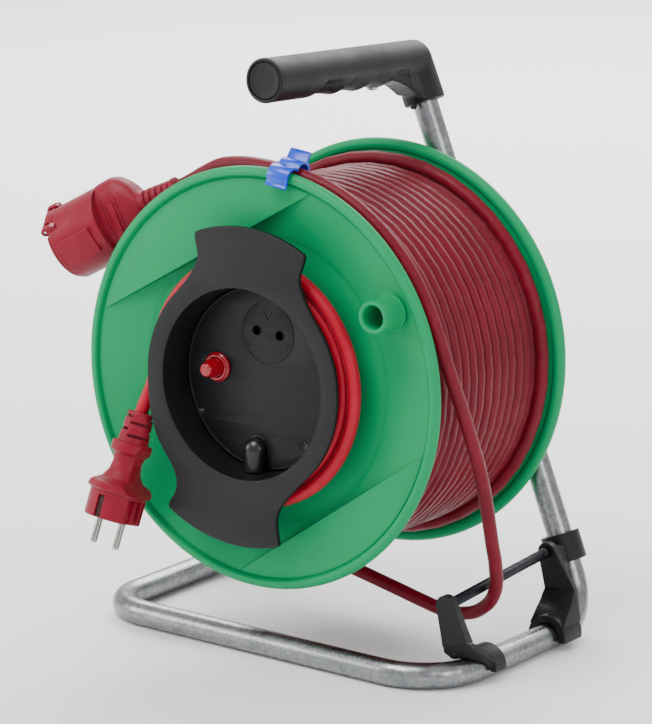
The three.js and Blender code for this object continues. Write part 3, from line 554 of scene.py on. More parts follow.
def catmull(pts, n):
    """n + 1 evenly spaced points on the centripetal Catmull-Rom curve through pts, as in the CAD."""
    P = [np.array(p, float) for p in pts]
    P = [2 * P[0] - P[1]] + P + [2 * P[-1] - P[-2]]
    fine = []
    for i in range(1, len(P) - 2):
        p0, p1, p2, p3 = P[i - 1:i + 3]
        t0 = 0
        t1 = t0 + np.linalg.norm(p1 - p0) ** 0.5
        t2 = t1 + np.linalg.norm(p2 - p1) ** 0.5
        t3 = t2 + np.linalg.norm(p3 - p2) ** 0.5
        for t in np.linspace(t1, t2, 24, endpoint=False):
            a1 = (t1 - t) / (t1 - t0) * p0 + (t - t0) / (t1 - t0) * p1
            a2 = (t2 - t) / (t2 - t1) * p1 + (t - t1) / (t2 - t1) * p2
            a3 = (t3 - t) / (t3 - t2) * p2 + (t - t2) / (t3 - t2) * p3
            b1 = (t2 - t) / (t2 - t0) * a1 + (t - t0) / (t2 - t0) * a2
            b2 = (t3 - t) / (t3 - t1) * a2 + (t - t1) / (t3 - t1) * a3
            fine.append((t2 - t) / (t2 - t1) * b1 + (t - t1) / (t2 - t1) * b2)
    fine.append(P[-2])
    fine = np.array(fine)
    s = np.concatenate([[0], np.cumsum(np.linalg.norm(np.diff(fine, axis=0), axis=1))])
    at = np.linspace(0, s[-1], n + 1)
    return np.stack([np.interp(at, s, fine[:, k]) for k in range(3)], 1)


def cable(name, pts, d, mat, body, rep, smooth=False, sides=4):
    """A round cable as one open spline through pts (mm)."""
    cu = bpy.data.curves.new(name, "CURVE")
    cu.dimensions = "3D"
    cu.bevel_depth = d / 2000
    cu.bevel_resolution = sides
    cu.use_fill_caps = True
    if smooth:
        s = cu.splines.new("BEZIER")
        s.bezier_points.add(len(pts) - 1)
        for bp, p in zip(s.bezier_points, pts):
            bp.co = W(p)
            bp.handle_left_type = bp.handle_right_type = "AUTO"
        s.resolution_u = 6
    else:
        s = cu.splines.new("POLY")
        s.points.add(len(pts) - 1)
        for sp, p in zip(s.points, pts):
            sp.co = (*W(p), 1)
        s.use_smooth = True
    cu.materials.append(M[mat])
    o = bpy.data.objects.new(name, cu)
    COL.objects.link(o)
    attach(o, body)
    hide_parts(*([rep] if isinstance(rep, str) else rep))
    return o


# ---------------------------------------------------------------- cables
CORD_D = 9.4


def wobble(t, seed, amp):
    return amp * noise.noise(Vector((t * 0.9, seed * 7.31, 0.5)))


# long cable on the drum: three layers and one turn climbing the rear flange, then across the turns to the bottom
wind = []
PITCH, Y0, Y1 = 9.5, 10.6, 148.3
PER = (Y1 - Y0) / PITCH
radii = [108.7, 116.75, 124.8]
END = math.radians(255)
total = 3 * PER + 1 + 130 / 360
start_a = END - 2 * PI * total
n_turn = 40
N = int(total * n_turn)


def smooth(x):
    x = max(0.0, min(1.0, x))
    return x * x * (3 - 2 * x)


for i in range(N + 1):
    t = total * i / N
    L = min(int(t / PER), 2)
    u = t / PER - L
    if t < 3 * PER:
        y = Y0 + (Y1 - Y0) * u if L % 2 == 0 else Y1 - (Y1 - Y0) * u
        r = radii[L]
        if L:  # climbs on to its layer
            r = radii[L - 1] + (radii[L] - radii[L - 1]) * smooth(u * PER / 0.12)
        if L == 0:
            r = 104.9 + (radii[0] - 104.9) * smooth(u * PER / 0.06)
        y += wobble(t * 1.7, 1 + L, 0.55 if 0.03 < u < 0.97 else 0)
        r += wobble(t * 2.3, 11 + L, 0.5)
    else:
        v = t - 3 * PER
        r = radii[2] + (132.2 - radii[2]) * smooth(v / 0.2) + (133.9 - 132.2) * smooth((v - 0.92) / 0.14)
        y = Y1 - 1.3 * smooth(v / 0.2) - (147.0 - 70) * smooth((v - 1.0) / (130 / 360))
    a = start_a + 2 * PI * t
    wind.append((r * math.cos(a), y, r * math.sin(a)))
winding = cable("cable_wound", wind, CORD_D, "red", "drum", "winding", sides=3)

# short lead on the hub
LEADY, L_IN, L_OUT = -7.5, 72.9, 82.2
lead = []
for k in range(0, 3):
    f = k / 3
    a = math.radians(-85 + 15 * f)
    r = 70.2 + (L_IN - 70.2) * smooth(f)
    lead.append((r * math.cos(a), LEADY, r * math.sin(a)))
for d in range(-70, 246, 8):
    a = math.radians(d)
    lead.append((L_IN * math.cos(a), LEADY, L_IN * math.sin(a)))
for d in range(246, 536, 8):
    a = math.radians(d)
    r = L_IN + (L_OUT - L_IN) * smooth((d - 246) / 40)
    lead.append((r * math.cos(a), LEADY, r * math.sin(a)))
drop = [(-82.2, -8.2, 0), (-83.6, -9.2, -9), (-85.6, -11.8, -18), (-87.6, -14.6, -25.1), (-88.75, -16.97, -31.78)]
lead += drop
# into the boot
PLUG_AT = Vector((-88.75, -16.97, -31.78))
PLUG_D = Vector((-0.125, -0.295, -0.947)).normalized()
lead.append(tuple(PLUG_AT + PLUG_D * 8))
lead = catmull(lead, 130)
lead_ob = cable("cable_lead", lead, CORD_D, "red_bright", "drum", ["lead_coil", "lead_drop"], sides=5)

# free cable: off the winding, under the roller, up the right side, behind the front rim to the connector
CP_AT = Vector((-91.95, 32, 118.56))
CP_D = Vector((-0.868, -0.15, -0.473)).normalized()
FR = 142.6
free = [(-34.8, 70, -129.9), (0, 70, -137.2), (34, 70, -144.6), (70, 69.8, -153.2), (94, 68.8, -158.4), (110, 67.6, -160.4), (125.5, 66, -158.5), (138.9, 64.4, -151.9), (148.7, 62.6, -139.9), (150.8, 61, -125), (149.9, 57.2, -104), (148.2, 45.6, -56), (144, 27, -6)]
for d in (10, 22, 34, 46, 58, 70, 82, 93, 104, 113):
    a = math.radians(d)
    r = {93: 143.5, 104: 145.6, 113: 148.2}.get(d, FR)
    y = {10: 14.5, 93: 14, 104: 23.2, 113: 30.3}.get(d, 10.2)
    free.append((r * math.cos(a), y, r * math.sin(a)))
for k in (13, 0.4, -9):
    free.append(tuple(CP_AT - CP_D * k))
free = catmull(free, 38)
free_ob = cable("cable_free", free, CORD_D, "red", "frame", "free_cable", smooth=True, sides=6)

# ---------------------------------------------------------------- stand
BX, BYF, BYR, ZB, LEAN, GRIP_Z, TUBE_R, TUBE_T = 152, -10, 178, -185, 0.39, 197, 9.0, 1.6
BLX, BLY = -148, 14


def upx(z):
    return BX - LEAN * (z - ZB)


topc = Vector((upx(GRIP_Z), BYR, GRIP_Z))
GRIP_DIR = Vector((0, -1, 0.03)).normalized()
LU = Vector((BX, 0, -ZB)).normalized()
UD = Vector((-LEAN, 0, 1)).normalized()
corners = [topc + GRIP_DIR * 156, topc, Vector((BX, BYR, ZB)), Vector((BX, BYF, ZB)), Vector((BLX, BLY, ZB)), Vector((-BX, BYR, ZB)), Vector((LU.x * 70, BYR, LU.z * 70))]


def bend_marks(path, rs):
    """Gives back rs, the bend radii, as they are."""
    return rs


def tube_path():
    """Stations along the tube, with the inward direction at bends."""
    rs = [26, 34, 42, 42, 34]
    P = corners
    out, inn = [P[0]], [Vector((0, 0, 0))]
    for i in range(1, len(P) - 1):
        p = P[i]
        u, w = (P[i - 1] - p).normalized(), (P[i + 1] - p).normalized()
        half = math.acos(max(-1, min(1, u.dot(w)))) / 2
        r = rs[i - 1]
        d = r / math.tan(half)
        mid = (u + w).normalized()
        c = p + mid * (r / math.sin(half))
        s, e = p + u * d - c, p + w * d - c
        ang = s.angle(e)
        # straight stretch up to the bend
        a0, b0 = out[-1], c + s
        m = max(2, int((b0 - a0).length / 12))
        for k in range(1, m):
            out.append(a0.lerp(b0, k / m))
            inn.append(Vector((0, 0, 0)))
        n = 40
        for k in range(n + 1):
            f = k / n
            q = c + s * (math.sin((1 - f) * ang) / math.sin(ang)) + e * (math.sin(f * ang) / math.sin(ang))
            out.append(q)
            # creases fade in and out along the bend
            env = smooth(f / 0.18) * smooth((1 - f) / 0.18)
            inn.append((c - q).normalized() * env * math.sin(f * PI * 11.0))
    a0 = out[-1]
    m = 14
    for k in range(1, m + 1):
        out.append(a0.lerp(P[-1], k / m))
        inn.append(Vector((0, 0, 0)))
    return out, inn


tp, tin = tube_path()
tstart = min(range(len(tp)), key=lambda i: (tp[i] - Vector((2, 2, ZB))).length)


def swept_with_creases(path, inn, radius, sides, start):
    V, F = tube_mesh(path, radius, sides, caps=False, start=start)
    out = []
    for i in range(len(path)):
        amp = inn[i].length
        nrm = inn[i].normalized() if amp > 1e-6 else None
        sgn = 1.0
        if nrm is not None:
            sgn = 1 if inn[i].dot(nrm) >= 0 else -1
        for k in range(sides):
            v = Vector(V[i * sides + k])
            if nrm is not None:
                d = (v - Vector(path[i]))
                c = d.normalized().dot(nrm)
                if c > 0:
                    v = v - nrm * (0.34 * amp * c ** 3) * sgn
            out.append(tuple(v))
    return out, F


SD = 40
Vo, Fo = swept_with_creases(tp, tin, TUBE_R, SD, tstart)
Vi, Fi = tube_mesh(tp, TUBE_R - TUBE_T, SD, caps=False, start=tstart)
n0 = len(Vo)
Vt = Vo + Vi
Ft = [list(f) for f in Fo] + [[n0 + q for q in f[::-1]] for f in Fi]
last = (len(tp) - 1) * SD
for k in range(SD):
    k2 = (k + 1) % SD
    Ft.append([k2, k, n0 + k, n0 + k2])
    Ft.append([last + k, last + k2, n0 + last + k2, n0 + last + k])
piece("stand_tube", (Vt, Ft), "zinc", "frame", "frame_tube", angle=50)


def along(p, d, s):
    return (p[0] + d[0] * s, p[1] + d[1] * s, p[2] + d[2] * s)


def solid_between(a, b, prof, n=48):
    """Lathe of (r, distance along) turned about the line a to b."""
    a, b = Vector(a), Vector(b)
    y = (b - a).normalized()
    ref = Vector((0, 1, 0)) if abs(y.y) < 0.9 else Vector((1, 0, 0))
    x = ref.cross(y).normalized()
    z = x.cross(y)
    return place(lathe(prof, n), basis(x, y, z, a))


# cross clamp on the leg and the upright
JT = (BX + LEAN * ZB) / (LU.x + LEAN * LU.z)
J = Vector((LU.x * JT, BYR, LU.z * JT))
OL = Vector((0, BYR, 0))
c1 = solid_between(along(OL, LU, 54), along(OL, LU, JT), [(0, 0), (0, JT - 54), (12.2, JT - 54), (12.2, 1.2), (11.4, 0)])
c2 = solid_between(along(J, UD, -14), along(J, UD, 14), rounded([(0, 0), (12.4, 0), (12.4, 28), (0, 28)], [0, 1.2, 1.2, 0]))
ribs = [solid_between(along(J, UD, t), along(J, UD, t + 2.4), [(0, 0), (12.4, 0), (12.9, 0.5), (12.9, 1.9), (12.4, 2.4), (0, 2.4)]) for t in (-11, 8.6)]
h1 = solid_between(along(OL, LU, 20), along(OL, LU, 70.6), [(0, 0), (9.5, 0), (9.5, 50.6), (0, 50.6)])
h2 = solid_between(along(J, UD, -30), along(J, UD, 30), [(0, 0), (9.5, 0), (9.5, 60), (0, 60)])
JS = (J.x - LU.x * 24, BYR, J.z - LU.z * 24)
boss = solid_between((JS[0], BYR - 12.9, JS[2]), (JS[0], BYR, JS[2]), rounded([(0, 0), (5.6, 0), (6.2, 12), (0, 12)], [0, 0.8, 0.5, 0]))
body = boolean(c1, [c2, ribs[0], ribs[1], boss], "UNION")
body = boolean(body, [h1, h2, solid_between((JS[0], BYR - 20, JS[2]), (JS[0], BYR - 9, JS[2]), [(0, 0), (2.9, 0), (2.9, 11), (0, 11)])], bevel=0.35, segs=2)
piece("clamp_block", body, "black", "frame", "leg_clamp")


def screw_mesh(r, h, kind="pan", depth=1.3, shank=(1.6, 6.0)):
    """Screw along -Y (head outwards at -y), head underside at y 0: crowned head with a cross recess, threaded shank."""
    if kind == "flat":
        prof = [(0, -h), (r * 0.90, -h), (r, -h + 0.12 * h), (r, 0), (0, 0)]
    else:
        prof = [(0, -h), (r * 0.45, -h * 0.97), (r * 0.78, -h * 0.80), (r * 0.96, -h * 0.45), (r, -h * 0.15), (r * 0.98, 0), (0, 0)]
    head = lathe(prof, 40)
    tools = []
    for a in (0, PI / 2):
        w, L = r * 0.16, r * 0.62
        pts = [(-L, -w), (L, -w), (L, w), (-L, w)]
        V = []
        for y, s in ((-h - 1, 1.25), (-h + depth, 0.55)):
            for (x, z) in pts:
                x2, z2 = x * s, z * (1 if s > 1 else 0.7)
                V.append((x2 * math.cos(a) - z2 * math.sin(a), y, x2 * math.sin(a) + z2 * math.cos(a)))
        F = [[0, 1, 2, 3], [7, 6, 5, 4], [0, 4, 5, 1], [1, 5, 6, 2], [2, 6, 7, 3], [3, 7, 4, 0]]
        tools.append((V, F))
    me = boolean(head, tools)
    parts = [me]
    if shank:
        rs, ls = shank
        rows = []
        n, m = 20, int(ls / 0.28)
        V, F = [], []
        for i in range(m + 1):
            y = ls * i / m
            for k in range(n):
                a = 2 * PI * k / n
                ph = (y / 1.0 + k / n) % 1.0
                rr = rs * (0.86 + 0.14 * (1 - abs(2 * ph - 1)))
                if y > ls - 1:
                    rr *= max(0.15, (ls - y) / 1.0)
                V.append((rr * math.cos(a), y, rr * math.sin(a)))
        for i in range(m):
            for k in range(n):
                F.append([i * n + k, i * n + (k + 1) % n, (i + 1) * n + (k + 1) % n, (i + 1) * n + k])
        F.append([m * n + k for k in range(n)])
        parts.append(clean(V, F))
    return parts


def oriented(parts, at, direction=(0, -1, 0), spin=0.0):
    """Meshes made along -Y (outwards) turned so outwards is direction, placed at a point."""
    d = Vector(direction).normalized()
    y = -d
    ref = Vector((1, 0, 0)) if abs(y.x) < 0.9 else Vector((0, 0, 1))
    x = (ref - y * ref.dot(y)).normalized()
    z = x.cross(y)
    m = basis(x, y, z, at) @ Matrix.Rotation(spin, 4, "Y")
    out = []
    for p in parts:
        me = as_mesh(p).copy()
        me.transform(m)
        out.append(me)
    return out


piece("clamp_screw", oriented(screw_mesh(4.4, 3.0, "pan", 1.6, (2.4, 3.0)), (JS[0], BYR - 12.8, JS[2]), (0, -1, 0), 0.4), "steel", "frame", "leg_clamp_screw")

# axle bolt, washers, spacer, nut
piece("axle_bolt_body", [lathe(rounded([(0, 26), (9.2, 26), (10, 27.4), (10, 32), (6, 32), (6, 188), (0, 188)], [0, 1, 0.6, 0.3, 0, 0, 0]), 48),
                         lathe([(0, 188)] + [(5.95 if i % 2 else 5.35, 188 + i * 0.62) for i in range(1, 17)] + [(5.2, 198.6), (4.6, 199.3), (0, 199.3)], 32)], "steel", "frame", "axle_bolt")
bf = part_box("axle_washer_front")


def ring_like(name, nodename, mat, ri, ro, body, chamfer=0.4):
    lo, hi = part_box(nodename)
    y0, y1 = (lo.y - OY) * 1000, (hi.y - OY) * 1000
    prof = rounded([(ri, y0), (ro, y0), (ro, y1), (ri, y1)], chamfer, 3)
    return piece(name, lathe(prof, 56), mat, body, nodename)


ring_like("washer_front", "axle_washer_front", "steel", 6.5, (bf[1].x - bf[0].x) * 500, "frame")
ring_like("washer_rear", "axle_washer_rear", "steel", 6.5, 12, "frame")
ring_like("spacer_rear", "axle_spacer", "black", 6.5, 10.5, "frame", 0.6)
lo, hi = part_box("axle_nut")
ny0, ny1 = (lo.y - OY) * 1000, (hi.y - OY) * 1000
hexr = (hi.x - lo.x) * 500
hexo = [(hexr * math.cos(PI / 3 * k + PI / 6 * 0), hexr * math.sin(PI / 3 * k)) for k in range(6)]
nut = plate([hexo], ny0, ny1, 0.3)
cone = lathe([(0, ny0 - 0.2), (hexr * 0.93, ny0 - 0.2), (hexr * 1.02, ny0 + 1.2), (hexr * 1.02, ny1 - 1.2), (hexr * 0.90, ny1 + 0.05), (0, ny1 + 0.05)], 64)
nut = boolean(nut, [cone], "INTERSECT")
nut = boolean(nut, [lathe([(0, ny0 - 2), (6.1, ny0 - 2), (6.1, ny1 + 2), (0, ny1 + 2)], 40)])
piece("lock_nut", [nut, lathe(rounded([(6.2, ny1 - 0.6), (8.0, ny1 - 0.6), (7.6, ny1), (6.2, ny1)], 0.3, 2), 40)], "steel", "frame", "axle_nut")

# grip: swept over the tube, with finger hollows, a rimmed end and a skirt down the upright
low = Vector((upx(170), BYR, 170))
front = topc + GRIP_DIR * 177
gp = fillet_path([low, topc, front], [20], 14)
st, lastp = gp[-2], gp[-1]
gp = gp[:-1]
NG = 90
for i in range(1, NG + 1):
    gp.append(st.lerp(lastp, i / NG))


def unite(parts, voxel=0.9, smooth_n=14, factor=0.5):
    """Several closed meshes melted into one skin, then smoothed."""
    base = boolean(parts[0], parts[1:], "UNION") if len(parts) > 1 else as_mesh(parts[0])
    o = obj_mm(base)
    md = o.modifiers.new("r", "REMESH")
    md.mode, md.voxel_size, md.use_smooth_shade = "VOXEL", voxel, True
    ms = o.modifiers.new("s", "SMOOTH")
    ms.factor, ms.iterations = factor, smooth_n
    bpy.context.view_layer.update()
    me = bpy.data.meshes.new_from_object(o.evaluated_get(bpy.context.evaluated_depsgraph_get()))
    bpy.data.objects.remove(o)
    return me


def cap_cyl(a, b, r, n=64, e=2.0):
    a, b = Vector(a), Vector(b)
    L = (b - a).length
    return solid_between(a, b, rounded([(0, 0), (r, 0), (r, L), (0, L)], [0, e, e, 0], 5), n)


GD = GRIP_DIR
rear = topc - GD * 4
grip_main = cap_cyl(topc + GD * 176.5, rear, 15.1, 72, 0.8)
skirt = solid_between(along(topc, UD, -30.5), along(topc, UD, 4), [(0, 0), (14.9, 0), (14.6, 12), (14.2, 34.5), (0, 34.5)], 72)
# corner block and web under the bend
gx = topc.x
def gcorner(pts, w):
    """A slab across the grip from outline points (distance forward, height) in the plane of grip and upright."""
    V = []
    for s in (-1, 1):
        for f, h in pts:
            V.append((upx(GRIP_Z + h) * 1.0 + s * w if h < 0 else gx + s * w, BYR - f, GRIP_Z + h))
    n = len(pts)
    F = [list(range(n)), [n + k for k in range(n)][::-1]]
    for k in range(n):
        F.append([(k + 1) % n, k, n + k, n + (k + 1) % n])
    me = clean(V, F)
    bm = bmesh.new()
    bm.from_mesh(me)
    bmesh.ops.triangulate(bm, faces=bm.faces)
    bmesh.ops.recalc_face_normals(bm, faces=bm.faces)
    bm.to_mesh(me)
    bm.free()
    return me


web = gcorner([(12, 2), (12, -22), (16, -23.4), (18.6, -21), (25, -16), (34, -12.4), (44, -10), (44, 2)], 11.5)
grip = unite([grip_main, skirt, web], 0.85, 22, 0.55)
# finger hollows: each starts at a crisp crescent and fades towards the bend
bm = bmesh.new()
bm.from_mesh(grip)
EDGES = [43, 74, 102, 128]
for v in bm.verts:
    rel = v.co - topc
    s = 177 - rel.dot(GD)                     # distance from the front end
    if s < 34 or s > 152:
        continue
    c = topc + GD * rel.dot(GD)
    d = v.co - c
    r = d.length
    if r < 12:
        continue
    down = max(0.0, -d.z / r)
    fade = smooth((down - 0.04) / 0.46)
    if fade <= 0:
        continue
    shift = 12.0 * (1 - down)
    best = 0.0
    for k, e in enumerate(EDGES):
        q = s - (e + shift)
        span = (EDGES[k + 1] - e if k < 3 else 24) - 1.5
        if 0 <= q < span:
            best = max(best, smooth(q / 1.2) * (1 - q / span) ** 0.7)
    v.co -= d.normalized() * (2.7 * best * fade)
bm.to_mesh(grip)
bm.free()
bore_path = [tuple(Vector((upx(120), BYR, 120))), tuple(Vector((upx(185), BYR, 185)))]
grip = boolean(grip, [solid_between(along(topc, UD, -60), along(topc, UD, -4), [(0, 0), (9.6, 0), (9.6, 56), (0, 56)], 48),
                      solid_between(along(topc, UD, -44), along(topc, UD, -28.6), [(0, 0), (12.6, 0), (12.6, 13.4), (9.5, 15.4), (0, 15.4)], 48),
                      solid_between(topc + GD * 175.0, topc + GD * 181, [(0, 0), (12.9, 0), (12.9, 6), (0, 6)], 64),
                      solid_between((topc.x, 128, GRIP_Z - 24), (topc.x, 128, GRIP_Z - 12.6), [(0, 0), (4.7, 0), (4.7, 11.4), (0, 11.4)], 32)])
rim = solid_between(topc + GD * 174.6, topc + GD * 177, [(12.95, 0), (15.0, 0), (15.2, 0.6), (15.1, 1.6), (14.3, 2.3), (13.5, 2.35), (12.95, 1.9)], 96)
# small snap tab at the front of the skirt
tabp = along(topc, UD, -30.2)
tab = bevelled(([(tabp[0] + sx * 2.2, tabp[1] - 12.2 - dy, tabp[2] + dz) for sx in (-1, 1) for dy, dz in ((0, 1.5), (2.2, 1.5), (3.2, -3.6), (0.4, -1.4))],
                [[0, 1, 2, 3], [7, 6, 5, 4], [0, 4, 5, 1], [1, 5, 6, 2], [2, 6, 7, 3], [3, 7, 4, 0]]), 0.3, 2)
piece("grip_sleeve", [grip, rim, tab], "black", "frame", "handle_grip", angle=40)
capp = solid_between(topc + GD * 163, topc + GD * 177, [(0, 0), (8.8, 0), (8.8, 12), (12.4, 12.2), (12.4, 12.9), (12.0, 13.3), (11.0, 13.4), (10.4, 13.15), (6, 13.2), (0, 13.25)], 72)
piece("grip_end_disc", capp, "black", "frame", "handle_end_cap")
piece("grip_screw", oriented(screw_mesh(4.1, 2.2, "pan", 1.3, (2.1, 4.4)), (topc.x, 128, GRIP_Z - 12.8), (0, 0, -1), 0.3), "steel", "frame", "handle_screw")

# ---------------------------------------------------------------- drum
R_FL, SEP, R_BAR = 145, 156, 104


def yF(r):
    return -1 + (137 - r) * 7 / 37


def yRi(r):
    return SEP - 1.6 - (137 - r) * 5 / 37


front_face = [(50, 7.2), (58, 7.2), (66, 7.2), (74, 7.2), (82, 7.2), (86, 7.2), (90, 7.15), (94, 7.05), (97, 6.85), (99, 6.4)]
r = 100.0
while r < 136.4:
    front_face.append((r, yF(r)))
    r += 0.9
bead_f = [(136.6, -0.95), (137.15, -0.72), (137.5, -0.55), (137.8, -0.9), (138.0, -1.9), (138.4, -2.9)]
bead_f += [(140.8 + 4.2 * math.cos(math.radians(t)), 4.2 * math.sin(math.radians(t))) for t in range(-112, 95, 9)]
back_f = [(139.4, 3.9), (138.0, 3.5), (137.2, 2.6), (136.6, yF(136.6) + 2.6), (120, yF(120) + 2.8), (105.5, yF(105.5) + 3.0), (104.3, yF(104) + 3.8), (104, yF(104) + 5.5), (104, 77.6), (103.6, 77.8), (101.4, 77.8), (101.4, 42.0),
          (60, 42), (16, 42), (15, 42.6), (15, 49.6), (14.6, 50), (10.4, 50), (10.4, 37), (15, 37), (16, 37.2), (101.4, 39.2), (101.4, 10), (50, 10), (49.6, 9.6), (49.6, 7.6)]
dfront = lathe(front_face + bead_f + back_f, 320)
slabs = []
for ang, dist in ((119, 93.5), (-56, 103)):
    h_ = math.degrees(math.acos(dist / 136.9))
    arc_ = [(136.9 * math.cos(math.radians(ang + h_ * t / 40)), 136.9 * math.sin(math.radians(ang + h_ * t / 40))) for t in range(-40, 41)]
    sl = plate([arc_], -1.3, 11, 0.45, 3)
    slabs.append(boolean(sl, [lathe([(60, -6), (136.75, -6), (136.75, yF(136.75) + 1.2), (90, yF(90) + 1.3), (60, yF(90) + 1.3)], 320)], "INTERSECT"))
pad_ = solid_between((106.7, 9.0, 58.2), (106.7, -0.25, 58.2), [(0, 0), (15.4, 0), (15.4, 3.0), (13.6, 8.1), (13.1, 8.7), (12.4, 8.9), (0, 8.9)], 64)
bore_ = solid_between((106.7, 14, 58.2), (106.7, -4, 58.2), [(0, 0), (3.1, 0), (3.1, 18), (0, 18)], 32)
pad_ = boolean(pad_, [lathe([(60, -6), (136.75, -6), (136.75, yF(136.75) + 1.2), (90, yF(90) + 1.3), (60, yF(90) + 1.3)], 200)], "INTERSECT")
dfront = boolean(dfront, slabs + [pad_], "UNION")
dfront = boolean(dfront, [bore_])
piece("flange_front", dfront, "green", "drum", "drum_front", angle=24)

rear_in = [(104, 78.2), (104, yRi(104) - 1.4), (104.6, yRi(104.6) - 0.4), (106, yRi(106)), (115, yRi(115)), (125, yRi(125)), (136.4, yRi(136.4)), (137.2, SEP - 2.4), (137.7, SEP - 3.2), (138.4, SEP - 3.6)]
bead_r = [(140.8 + 4.2 * math.cos(math.radians(t)), SEP + 4.2 * math.sin(math.radians(t))) for t in range(-110, 118, 9)]
rear_out = [(138.2, SEP + 2.8), (137.4, SEP + 1.6), (136.8, yRi(136.8) + 2.7), (118.6, yRi(118.6) + 2.8), (118.0, yRi(118) + 4.6), (116.6, yRi(116.6) + 5.0), (115.4, yRi(115.4) + 4.6), (114.8, yRi(114.8) + 2.9), (96, yRi(96) + 2.9), (60, yRi(104) + 2.9), (46.6, yRi(104) + 2.9),
            (46, yRi(104) + 5.6), (44, yRi(104) + 6.0), (42.6, yRi(104) + 5.6), (42, yRi(104) + 2.9), (16.4, yRi(104) + 3.0), (15.4, yRi(104) + 3.8), (14.9, 162.2), (14.3, 162.8), (10.4, 162.8), (10.4, 136), (15, 136), (15, yRi(104)), (60, yRi(104)), (101.4, yRi(104)), (101.4, 78.4), (101.8, 78.2)]
parts = [clean(*lathe(rear_in + bead_r + rear_out, 240))]
for k in range(12):
    a = 2 * PI * (k + 0.5) / 12
    ca, sa = math.cos(a), math.sin(a)
    rib = []
    for rr, y0_, y1_ in ((15.2, yRi(104) + 2.0, yRi(104) + 8.0), (44, yRi(104) + 2.0, yRi(104) + 5.6), (117, yRi(117) + 1.8, yRi(117) + 4.9), (136.4, yRi(136) + 1.8, yRi(136) + 3.6)):
        rib.append((rr, y0_, y1_))
    V, F = [], []
    for rr, ya, yb in rib:
        for s in (-0.9, 0.9):
            for yy, t in ((ya, 1.25), (yb, 0.8)):
                V.append((rr * ca - s * t * sa, yy, rr * sa + s * t * ca))
    for i in range(3):
        o_ = i * 4
        F += [[o_, o_ + 1, o_ + 5, o_ + 4], [o_ + 1, o_ + 3, o_ + 7, o_ + 5], [o_ + 3, o_ + 2, o_ + 6, o_ + 7], [o_ + 2, o_, o_ + 4, o_ + 6]]
    F += [[0, 2, 3, 1], [12, 13, 15, 14]]
    parts.append(bevelled((V, F), 0.35, 2, 30))
for d in (30, 150, 270):
    x, z = 84 * math.cos(math.radians(d)), 84 * math.sin(math.radians(d))
    boss = lathe(rounded([(4.9, 146.2), (4.9, yRi(104) + 4.6), (7.6, yRi(104) + 4.6), (8.4, yRi(104) + 2.0), (8.4, 150), (6.5, 146.2)], [0.2, 0.4, 0.6, 0.3, 0.3, 0.2], 3), 40)
    parts.append(clean([(vx + x, vy, vz + z) for vx, vy, vz in boss[0]], boss[1]))
piece("flange_rear", parts, "green", "drum", "drum_rear", angle=28)
for i, d in enumerate((30, 150, 270)):
    x, z = 84 * math.cos(math.radians(d)), 84 * math.sin(math.radians(d))
    piece("rear_screw_%d" % (i + 1), oriented(screw_mesh(4.2, 2.3, "pan", 1.5, (1.7, 8)), (x, 149.6, z), (0, 1, 0), 0.5 * i), "steel", "drum", "drum_screw_%d" % (i + 1))
piece("bearing_front", lathe(rounded([(6.5, 34.8), (13, 34.8), (13, 36.6), (10, 36.6), (10, 51), (6.5, 51)], 0.4, 2), 48), "bronze", "drum", "bush_front")
piece("bearing_rear", lathe(rounded([(6.5, 135), (10, 135), (10, 161.5), (6.5, 161.5)], 0.5, 2), 48), "bronze", "drum", "bush_rear")

# crank knob: hollow, with a rim at its end and a wider collar at its base
KN = (106.7, 58.2)
kprof = rounded([(3.4, -0.7), (12.4, -0.7), (12.5, -2.2), (11.6, -4.0), (10.9, -9.0), (11.0, -21.6), (10.4, -23), (8.9, -23), (8.0, -21.8), (7.6, -5), (3.4, -5)],
                [0.2, 0.4, 0.8, 2.0, 4, 1.0, 0.7, 0.6, 1.2, 0.8, 0.2], 5)
V, F = lathe(kprof, 96)
piece("knob_sleeve", (([(x + KN[0], y, z + KN[1]) for x, y, z in V]), F), "green", "knob", "crank_knob", angle=40)
sp = screw_mesh(6.0, 3.0, "pan", 1.5, (2.9, 4.8))
piece("knob_pin", [*oriented(sp, (KN[0], -5.4, KN[1]), (0, -1, 0), 0.3), (lambda vf: clean([(x + KN[0], y, z + KN[1]) for x, y, z in vf[0]], vf[1]))(lathe([(0, -1.2), (2.2, -1.2), (2.2, 3.2), (1.8, 3.6), (0, 3.6)], 24))], "steel", "drum", "knob_screw")

# hub ring with its two cleats, and the deep wall
HUB_F, HUB_IN, HUB_OUT = -23, 66.3, 78.7


def brick2(a0, a1):
    """A wedge about the axis from angle a0 to a1, for cutting a sector."""
    pts_ = [(0, 0)] + [(110 * math.cos(math.radians(a0 + (a1 - a0) * k / 4)), 110 * math.sin(math.radians(a0 + (a1 - a0) * k / 4))) for k in range(5)]
    n_ = len(pts_)
    V = [(x_, y_, z_) for y_ in (-30, 20) for x_, z_ in pts_]
    return V, [list(range(n_)), [n_ + k for k in range(n_)][::-1]] + [[(k + 1) % n_, k, n_ + k, n_ + (k + 1) % n_] for k in range(n_)]


